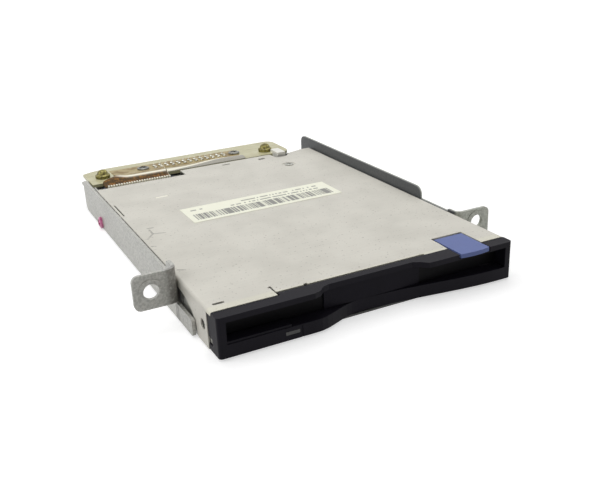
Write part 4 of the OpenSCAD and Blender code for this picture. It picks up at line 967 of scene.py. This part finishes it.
class Workshop:
    """Builds meshes and puts finishes on them."""

    def __init__(self, solids: dict[str, bpy.types.Object]) -> None:
        """Takes the frame's solids and starts with no finish made."""
        self._solids = solids
        self._made: dict[str, bpy.types.Material] = {}

    def finish(self, kind: Finish) -> bpy.types.Material:
        """Gives the material of a finish, made once.

        Args:
            kind: The finish.

        Returns:
            Its material.
        """
        if kind.name not in self._made:
            self._made[kind.name] = kind.material()
        return self._made[kind.name]

    def coat(self, kind: Finish, *names: str) -> None:
        """Puts a finish on solids of the frame.

        Args:
            kind: The finish.
            names: Names of the solids.
        """
        for name in names:
            solid = self._solids[name]
            if not solid.material_slots:
                solid.data.materials.append(None)
            for place in solid.material_slots:
                place.material = self.finish(kind)
            LOG.info("%s: %s", name, kind.name)

    def piece(
        self,
        name: str,
        shape: bmesh.types.BMesh,
        kind: Finish,
        slot: str,
        body: str = "drive_frame",
        smooth: bool = True,
    ) -> bpy.types.Object:
        """Turns a shape into a piece that rides on a body.

        Args:
            name: Name of the piece.
            shape: The shape, which is freed.
            kind: Its finish.
            slot: Not used.
            body: Body that carries it.
            smooth: Whether its faces are shaded as one round surface.

        Returns:
            The piece.
        """
        bmesh.ops.recalc_face_normals(shape, faces=shape.faces)
        mesh = bpy.data.meshes.new(name)
        shape.to_mesh(mesh)
        shape.free()
        mesh.polygons.foreach_set("use_smooth", [smooth] * len(mesh.polygons))
        mesh.materials.append(self.finish(kind))
        made = bpy.data.objects.new(name, mesh)
        bpy.context.scene.collection.objects.link(made)
        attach(made, body)
        LOG.info("%s: %d faces", name, len(mesh.polygons))
        return made

    @staticmethod
    def bar(shape: bmesh.types.BMesh, low: Vector, high: Vector, edge: float) -> None:
        """Adds a bar with bevelled edges.

        Args:
            shape: Where it goes.
            low: Its lowest corner, in metres.
            high: Its highest corner, in metres.
            edge: Width of the bevel.
        """
        place = Matrix.Translation((low + high) / 2) @ Matrix.Diagonal((*(high - low), 1.0))
        made = bmesh.ops.create_cube(shape, size=1.0, matrix=place)
        edges = list({line for point in made["verts"] for line in point.link_edges})
        bmesh.ops.bevel(
            shape,
            geom=edges,
            offset=edge * MM,
            affect="EDGES",
            segments=2,
            profile=0.5,
            material=-1,
        )


@dataclass
class CoverSet:
    """Top cover, its screw and its label."""

    shop: Workshop
    lip_x: Span = (-31.3, -26.7)
    lip_y: Span = (33.95, 34.95)
    lip_z: Span = (12.42, 12.76)
    lip_edge: float = 0.08

    def build(self) -> None:
        """Dresses the cover and lays the lip of its lanced slit, near white as a painted
        highlight.
        """
        self.shop.coat(COVER, "top_cover")
        self.shop.coat(PLATED, "cover_screw", "controller_screws", "right_side_screw")
        self.shop.coat(LABEL, "cover_label")
        shape = bmesh.new()
        low, high = (mm(*corner) for corner in zip(self.lip_x, self.lip_y, self.lip_z))
        self.shop.bar(shape, low, high, self.lip_edge)
        self.shop.piece("slit_lip", shape, PAINTED_HIGHLIGHT_WHITE, "cover_sheet", smooth=False)


@dataclass
class FrontSet:
    """Bezel, dust door, eject button and lamp window."""

    shop: Workshop

    def build(self) -> None:
        """Dresses the front."""
        self.shop.coat(BEZEL, "bezel")
        self.shop.coat(DOOR, "dust_door")
        self.shop.coat(BLUE, "eject_button")
        self.shop.coat(LENS, "light_pipe", "activity_lamp")


@dataclass
class EjectSet:
    """Slider, disk carrier, shutter lever and their springs."""

    shop: Workshop
    spring_x: float = 43.6
    spring_y: Span = (-41.0, -27.0)
    spring_z: float = 2.3
    coil_r: float = 0.85
    wire_r: float = 0.14
    wire_sides: int = 8
    turns: int = 16
    turn_steps: int = 14

    def build(self) -> None:
        """Dresses the parts and winds the two slider springs."""
        self.shop.coat(INNER, "eject_slider", "disk_carrier", "shutter_lever")
        self.shop.coat(INNER, "stepper_bracket", "upper_arm")
        self.shop.coat(WIRE, "door_spring", "lever_spring", "arm_spring", "grounding_spring")
        self.shop.coat(STEEL, "carrier_pins", "lever_rivet")
        shape = bmesh.new()
        for side in (-1, 1):
            self._coil(shape, side * self.spring_x)
        springs = self.shop.piece("slider_coils", shape, WIRE, "spring_wire", "eject_slide")
        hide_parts("slider_springs")

    def _coil(self, shape: bmesh.types.BMesh, x: float) -> None:
        """Winds one spring along Y.

        Args:
            shape: Where it goes.
            x: X of its axis.
        """
        start, end = self.spring_y[0] + self.wire_r, self.spring_y[1] - self.wire_r
        ring = bmesh.ops.create_circle(
            shape,
            segments=self.wire_sides,
            radius=self.wire_r * MM,
            cap_ends=True,
            matrix=Matrix.Translation(mm(x + self.coil_r, start, self.spring_z)),
        )
        faces = list({face for point in ring["verts"] for face in point.link_faces})
        count = self.turns * self.turn_steps
        bmesh.ops.spin(
            shape,
            geom=faces,
            cent=mm(x, start, self.spring_z),
            axis=(0.0, 1.0, 0.0),
            dvec=mm(0.0, (end - start) / count, 0.0),
            angle=math.tau * self.turns,
            steps=count,
            use_duplicate=False,
        )


@dataclass
class SpindleSet:
    """Spindle motor under the disk, and the controller board beside it."""

    shop: Workshop

    def build(self) -> None:
        """Dresses the motor and the boards."""
        self.shop.coat(GREEN, "motor_board", "controller_board")
        self.shop.coat(COPPER, "stator_coils")
        self.shop.coat(BRONZE, "spindle_bearing")
        self.shop.coat(STEEL, "spindle_shaft", "rotor_cup", "spindle_hub", "drive_pin")
        self.shop.coat(MAGNET, "rotor_magnet")


@dataclass
class HeadSet:
    """Head carriage with its arm, rod, stepper motor and lead screw, and the plungers."""

    shop: Workshop

    def build(self) -> None:
        """Dresses the heads and what moves them."""
        self.shop.coat(DARK, "head_carriage", "track_sensor", "disk_switches")
        self.shop.coat(CERAMIC, "lower_head", "upper_head")
        self.shop.coat(STEEL, "arm_pivot_pin", "guide_rod", "lead_screw")
        self.shop.coat(CAST, "rod_clamps", "stepper_motor")
        self.shop.coat(AMBER, "head_cable")
        self.shop.coat(IVORY, "write_tab_plunger", "density_plunger", "disk_plunger")


@dataclass
class FlatCable:
    """Flexible cable that rises from its connector and lies down on the rear board.

    Its left part is the tail in the connector. The body right of it starts behind the
    cover, so its front edge hangs free.
    """

    shop: Workshop
    x: Span = (-43.65, 17.6)
    tail_right_x: float = -17.05
    thick: float = 0.12
    columns: int = 110
    rows: int = 46
    # Tail: its Y and Z in the connector, and where it starts to rise
    start: Span = (58.8, 12.0)
    rise_y: float = 60.3
    crest: float = 1.45
    crest_power: float = 1.2
    # Body: its free front edge, and how its crest falls to the right
    edge_y: float = 63.9
    edge_lift: float = 0.12
    edge_crest: float = 0.75
    fade_w: float = 9.0
    ripple: float = 0.18
    ripple_rate: float = 0.23
    # Where both lie down on the board, and where the sheet ends
    board_z: float = 12.7
    board_gap: float = 0.02
    land_y: float = 72.2
    land_pull: float = 2.2
    flat_y: float = 79.2
    # The left edge steps in on the board
    narrow_x: float = -37.2
    narrow_y: float = 63.2
    narrow_l: float = 5.0
    narrow_w: float = 14.0
    # The crest's painted highlight
    lip_y: float = 64.9
    lip_wide: float = 0.75
    lip_thinning: float = 0.35
    lip_bend: float = 2.4
    lip_bend_x: float = -38.0
    lip_bend_w: float = 3.0
    lip_slope: float = 0.12
    lip_slope_x: float = -14.0
    lip_left_x: float = -38.5
    lip_left_w: float = 3.0
    lip_right_w: float = 1.5
    laid_w: float = 1.6
    # The contacts' plated tails
    tails: int = 25
    tail_x: Span = (-43.1, -17.6)
    tail_y: Span = (57.3, 58.6)
    tail_z: Span = (12.1, 13.1)
    tail_w: float = 0.6
    tail_edge: float = 0.08

    def build(self) -> None:
        """Lays the sheet column by column, then gives it its thickness."""
        self.shop.coat(SOCKET, "flex_connector")
        self.shop.coat(DARK, "board_chips")
        self.shop.coat(TIN, "connector_contacts")
        shape = bmesh.new()
        grid = bmesh.ops.create_grid(
            shape, x_segments=self.columns, y_segments=self.rows, size=1.0
        )
        for corner in grid["verts"]:
            corner.co = self._place((corner.co.x + 1) / 2, (corner.co.y + 1) / 2)
        bmesh.ops.recalc_face_normals(shape, faces=shape.faces)
        bmesh.ops.solidify(shape, geom=shape.faces, thickness=self.thick * MM)
        cable = self.shop.piece("flat_cable", shape, AMBER, "cable_amber")
        self._paint(cable)
        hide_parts("interface_flex")
        self._tails()

    def _place(self, across: float, along: float) -> Vector:
        """Gives the place of one point of the sheet.

        Args:
            across: Share of the width, from the left.
            along: Share of the length, from the front.

        Returns:
            The point, in metres.
        """
        x = self.x[0] + across * (self.x[1] - self.x[0])
        fade = self._fade(x)
        crest = self.crest + (self.edge_crest - self.crest) * fade
        if x > self.tail_right_x:
            crest += self.ripple * math.sin(x * self.ripple_rate)
            y0, z0 = self.edge_y, self.board_z + self.edge_lift
            rise_y = y0
        else:
            y0, z0 = self.start
            rise_y = self.rise_y
        y = y0 + along * (self.flat_y - y0)
        share = (y - rise_y) / (self.land_y - self.land_pull * fade - rise_y)
        inside = min(1.0, max(0.0, share))
        z = z0 + (self.board_z + self.board_gap - z0) * ease(inside)
        z += crest * math.sin(math.pi * inside) ** self.crest_power
        inwards = ease((self.x[0] + self.narrow_w - x) / self.narrow_w)
        inwards *= ease((y - self.narrow_y) / self.narrow_l)
        return mm(x + inwards * (self.narrow_x - self.x[0]), y, z)

    def _fade(self, x: float) -> float:
        """Climbs from 0 at the tail's right edge to 1 where the body's crest is low."""
        return ease((x - self.tail_right_x) / self.fade_w)

    def _paint(self, cable: bpy.types.Object) -> None:
        """Writes where the sheet lies flat and where its crest's painted highlight lies, at each
        point.

        Args:
            cable: The sheet.
        """
        laid = cable.data.attributes.new("laid", "FLOAT", "POINT")
        glint = cable.data.attributes.new("glint", "FLOAT", "POINT")
        for i, point in enumerate(cable.data.vertices):
            x, y = point.co.x / MM, point.co.y / MM
            lip = self._lip(x)
            band = self.lip_wide * (1.0 - self.lip_thinning * self._fade(x))
            ends = ease((x - self.lip_left_x) / self.lip_left_w)
            ends *= ease((self.x[1] - x) / self.lip_right_w)
            laid.data[i].value = ease((y - lip) / self.laid_w)
            glint.data[i].value = math.exp(-(((y - lip) / band) ** 2)) * ends

    def _lip(self, x: float) -> float:
        """Gives the place of the crest's painted highlight.

        Args:
            x: Where it is asked.

        Returns:
            Its Y there.
        """
        bend = math.exp(-(((x - self.lip_bend_x) / self.lip_bend_w) ** 2))
        slope = self.lip_slope * max(0.0, x - self.lip_slope_x)
        return self.lip_y + self.lip_bend * bend + slope

    def _tails(self) -> None:
        """Stands the contacts' plated tails before the sheet, near white as a painted highlight.
        """
        shape = bmesh.new()
        half = self.tail_w / 2
        pitch = (self.tail_x[1] - self.tail_x[0]) / self.tails
        for i in range(self.tails):
            x = self.tail_x[0] + pitch * (i + 0.5)
            low = mm(x - half, self.tail_y[0], self.tail_z[0])
            high = mm(x + half, self.tail_y[1], self.tail_z[1])
            self.shop.bar(shape, low, high, self.tail_edge)
        self.shop.piece("contact_tails", shape, PAINTED_HIGHLIGHT_WHITE, "contact_tin", smooth=False)


@dataclass(frozen=True)
class SlottedHead:
    """Place of a slotted screw head and the angle of its slot in degrees."""

    x: float
    y: float
    turn: float


@dataclass
class RearBoard:
    """Interposer board with its header, pins, screws and clip."""

    shop: Workshop
    pins: int = 13
    pitch: float = 2.54
    centre_x: float = -3.9
    rows_y: Span = (72.8, 75.34)
    top_z: float = 12.72
    fillet_r: Span = (0.86, 0.4)
    fillet_h: float = 0.62
    fillet_sides: int = 14
    heads: tuple[SlottedHead, ...] = (
        SlottedHead(-41.5, 71.9, -38.0),
        SlottedHead(29.3, 69.8, -52.0),
    )
    head_z: float = 13.9
    head_r: float = 2.2
    head_h: float = 1.9
    head_foot: float = 0.12
    head_power: float = 2.6
    head_rings: int = 12
    head_sides: int = 40
    slot_half: float = 0.3
    slot_soft: float = 0.35
    slot_depth: float = 0.62
    blank_h: float = 1.0
    merge: float = 0.01

    def build(self) -> None:
        """Dresses the board, raises its screws' heads and solders its pins."""
        self.shop.coat(CREAM, "interposer_board")
        self.shop.coat(DARK, "interface_header")
        self.shop.coat(TIN, "header_pins")
        self.shop.coat(DULL, "header_screws")
        self.shop.coat(YELLOW, "board_screws")
        self.shop.coat(NYLON, "nylon_clip")
        heads = bmesh.new()
        for head in self.heads:
            centre = mm(head.x, head.y, self.head_z)
            self._mound(heads, centre, self._dome(head.turn))
        self.shop.piece("screw_domes", heads, YELLOW, "yellow_zinc")
        solder = bmesh.new()
        left_x = self.centre_x - (self.pins - 1) / 2 * self.pitch
        for row in self.rows_y:
            for i in range(self.pins):
                self._fillet(solder, left_x + i * self.pitch, row)
        self.shop.piece("solder_fillets", solder, SOLDER, "contact_tin")

    def _dome(self, turn: float) -> HeightAt:
        """Gives the height of a slotted dome.

        Args:
            turn: Angle of its slot in degrees.

        Returns:
            A function that gives the height at a place off the centre.
        """
        cos, sin = math.cos(math.radians(turn)), math.sin(math.radians(turn))

        def height(x: float, y: float) -> float:
            """Gives the height at one place.

            Args:
                x: Place on X off the centre.
                y: Place on Y off the centre.

            Returns:
                The height over the foot.
            """
            reach = min(1.0, math.hypot(x, y) / self.head_r)
            bulge = math.sqrt(max(0.0, 1.0 - reach**self.head_power))
            dome = self.head_h * bulge + self.head_foot
            slot = 1.0 - ease((abs(x * sin - y * cos) - self.slot_half) / self.slot_soft)
            return dome - self.slot_depth * slot * min(1.0, dome / self.head_h)

        return height

    def _mound(self, shape: bmesh.types.BMesh, centre: Vector, height: HeightAt) -> None:
        """Spins a round blank and raises its top to a height.

        Args:
            shape: Where it goes.
            centre: Middle of its flat foot, in metres.
            height: Gives the height at a place off the centre.
        """
        ring = self.head_r / self.head_rings
        outline = [mm(ring * i, 0.0, self.blank_h) for i in range(self.head_rings + 1)]
        outline += [mm(self.head_r, 0.0, 0.0), mm(0.0, 0.0, 0.0)]
        before = set(shape.verts)
        points = [shape.verts.new(centre + place) for place in outline]
        lines = [shape.edges.new(pair) for pair in zip(points, points[1:])]
        bmesh.ops.spin(
            shape,
            geom=points + lines,
            cent=centre,
            axis=(0.0, 0.0, 1.0),
            angle=math.tau,
            steps=self.head_sides,
            use_merge=True,
            use_duplicate=False,
        )
        spun = [point for point in shape.verts if point not in before]
        bmesh.ops.remove_doubles(shape, verts=spun, dist=self.merge * MM)
        for point in shape.verts:
            off = (point.co - centre) / MM
            if point not in before and off.z > self.blank_h / 2:
                point.co.z = centre.z + height(off.x, off.y) * MM

    def _fillet(self, shape: bmesh.types.BMesh, x: float, y: float) -> None:
        """Adds the cone of solder round one pin.

        Args:
            shape: Where it goes.
            x: X of the pin.
            y: Y of the pin.
        """
        bmesh.ops.create_cone(
            shape,
            cap_ends=True,
            segments=self.fillet_sides,
            radius1=self.fillet_r[0] * MM,
            radius2=self.fillet_r[1] * MM,
            depth=self.fillet_h * MM,
            matrix=Matrix.Translation(mm(x, y, self.top_z + self.fillet_h / 2)),
        )


@dataclass
class BracketSet:
    """Chassis, the two side brackets, the rear bar and their screws."""

    shop: Workshop

    def build(self) -> None:
        """Dresses the sheet parts outside the drive."""
        self.shop.coat(CHASSIS, "chassis")
        self.shop.coat(ZINC, "left_bracket", "rear_bar")
        self.shop.coat(ZINC_WITH_PAINTED_SHADE, "right_bracket")
        self.shop.coat(LOCKED, "locked_screw")


@dataclass(frozen=True)
class Lamp:
    """A square lamp, its place and size in metres and its power in watts."""

    name: str
    place: Place
    size: float
    power: float


@dataclass
class Studio:
    """Pale floor, soft light and the camera at the photograph's angle."""

    eye: Place = (-105.29, -232.75, 102.77)
    azimuth: float = -26.289
    elevation: float = 22.598
    roll: float = -2.589
    lens: float = 46.73
    sensor: float = 36.0
    clip: Span = (10.0, 20000.0)
    ambient: float = 0.34
    lamps: tuple[Lamp, ...] = (
        Lamp("side", (-0.75, 0.15, 0.55), 0.6, 2.4),
        Lamp("top", (0.05, 0.2, 0.9), 0.8, 4.2),
    )
    floor_half: float = 2000.0
    floor_near: float = 250.0
    floor_far: float = 1400.0
    floor_glow: float = 0.57
    far_glow: float = 0.45
    floor_cloud: float = 60.0
    floor_dark: Colour = paint(204, 204, 204)
    floor_light: Colour = paint(208, 208, 208)
    floor_roughness: float = 0.9

    def camera(self) -> None:
        """Places the camera."""
        turn, tilt, lean = (math.radians(v) for v in (self.azimuth, self.elevation, self.roll))
        reach = math.cos(tilt)
        back = Vector((math.sin(turn) * reach, -math.cos(turn) * reach, math.sin(tilt)))
        level = Vector((math.cos(turn), math.sin(turn), 0.0))
        upright = back.cross(level)
        right = math.cos(lean) * level + math.sin(lean) * upright
        up = -math.sin(lean) * level + math.cos(lean) * upright
        data = bpy.data.cameras.new("camera")
        data.sensor_width = self.sensor
        data.lens = self.lens
        data.clip_start, data.clip_end = self.clip[0] * MM, self.clip[1] * MM
        made = bpy.data.objects.new("camera", data)
        bpy.context.scene.collection.objects.link(made)
        made.rotation_mode = "QUATERNION"
        made.location = mm(*self.eye)
        made.rotation_quaternion = Matrix((right, up, back)).transposed().to_quaternion()
        bpy.context.scene.camera = made

    def floor(self) -> None:
        """Lays a white floor under the object."""
        low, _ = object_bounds()
        shape = bmesh.new()
        place = Matrix.Translation((0.0, 0.0, low.z))
        half = self.floor_half * MM
        bmesh.ops.create_grid(shape, x_segments=1, y_segments=1, size=half, matrix=place)
        mesh = bpy.data.meshes.new("floor")
        shape.to_mesh(mesh)
        shape.free()
        mesh.materials.append(self._floor_white())
        made = bpy.data.objects.new("floor", mesh)
        bpy.context.scene.collection.objects.link(made)
        made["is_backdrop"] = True

    def _floor_white(self) -> bpy.types.Material:
        """Builds the floor's finish, which glows more towards the horizon.

        Returns:
            The material.
        """
        graph = Graph("floor_white")
        x, y, _ = graph.axes()
        afar = (x * x + y * y).rise(self.floor_near**2, self.floor_far**2) * self.far_glow
        glow = graph.seen() * (afar + self.floor_glow)
        clouds = graph.noise(self.floor_cloud, Detail.SOFT)
        return graph.dress(
            base_color=graph.mix(clouds, self.floor_dark, self.floor_light),
            roughness=self.floor_roughness,
            emission_color=graph.mix(glow, BLACK, WHITE),
            emission_strength=1.0,
        )

    def light(self) -> None:
        """Sets an even white surrounding and the soft lamps."""
        world = bpy.data.worlds.new("studio")
        bpy.context.scene.world = world
        world.use_nodes = True
        tree = Tree(world.node_tree)
        back = next(node for node in world.node_tree.nodes if node.type == "BACKGROUND")
        tree.feed(back.inputs["Color"], WHITE)
        tree.feed(back.inputs["Strength"], tree.seen() * (1 - self.ambient) + self.ambient)
        for lamp in self.lamps:
            self._hang(lamp)

    @staticmethod
    def _hang(lamp: Lamp) -> None:
        """Hangs a lamp so that it faces the object.

        Args:
            lamp: The lamp.
        """
        data = bpy.data.lights.new(lamp.name, "AREA")
        data.size = lamp.size
        data.energy = lamp.power
        made = bpy.data.objects.new(lamp.name, data)
        bpy.context.scene.collection.objects.link(made)
        made.location = lamp.place
        made.rotation_mode = "QUATERNION"
        made.rotation_quaternion = (-Vector(lamp.place)).to_track_quat("-Z", "Y")


def main() -> None:
    """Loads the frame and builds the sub-assemblies in order."""
    logging.basicConfig(level=logging.INFO, format="%(name)s: %(message)s")
    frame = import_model()
    shop = Workshop(frame["nodes"])
    studio = Studio()
    studio.camera()
    sets = (CoverSet, FrontSet, EjectSet, SpindleSet, HeadSet, FlatCable, RearBoard, BracketSet)
    for kind in sets:
        kind(shop).build()
        LOG.info("%s built", kind.__name__)
    studio.floor()
    studio.light()
    bpy.context.scene.view_settings.view_transform = "Standard"


if __name__ == "__main__":
    main()
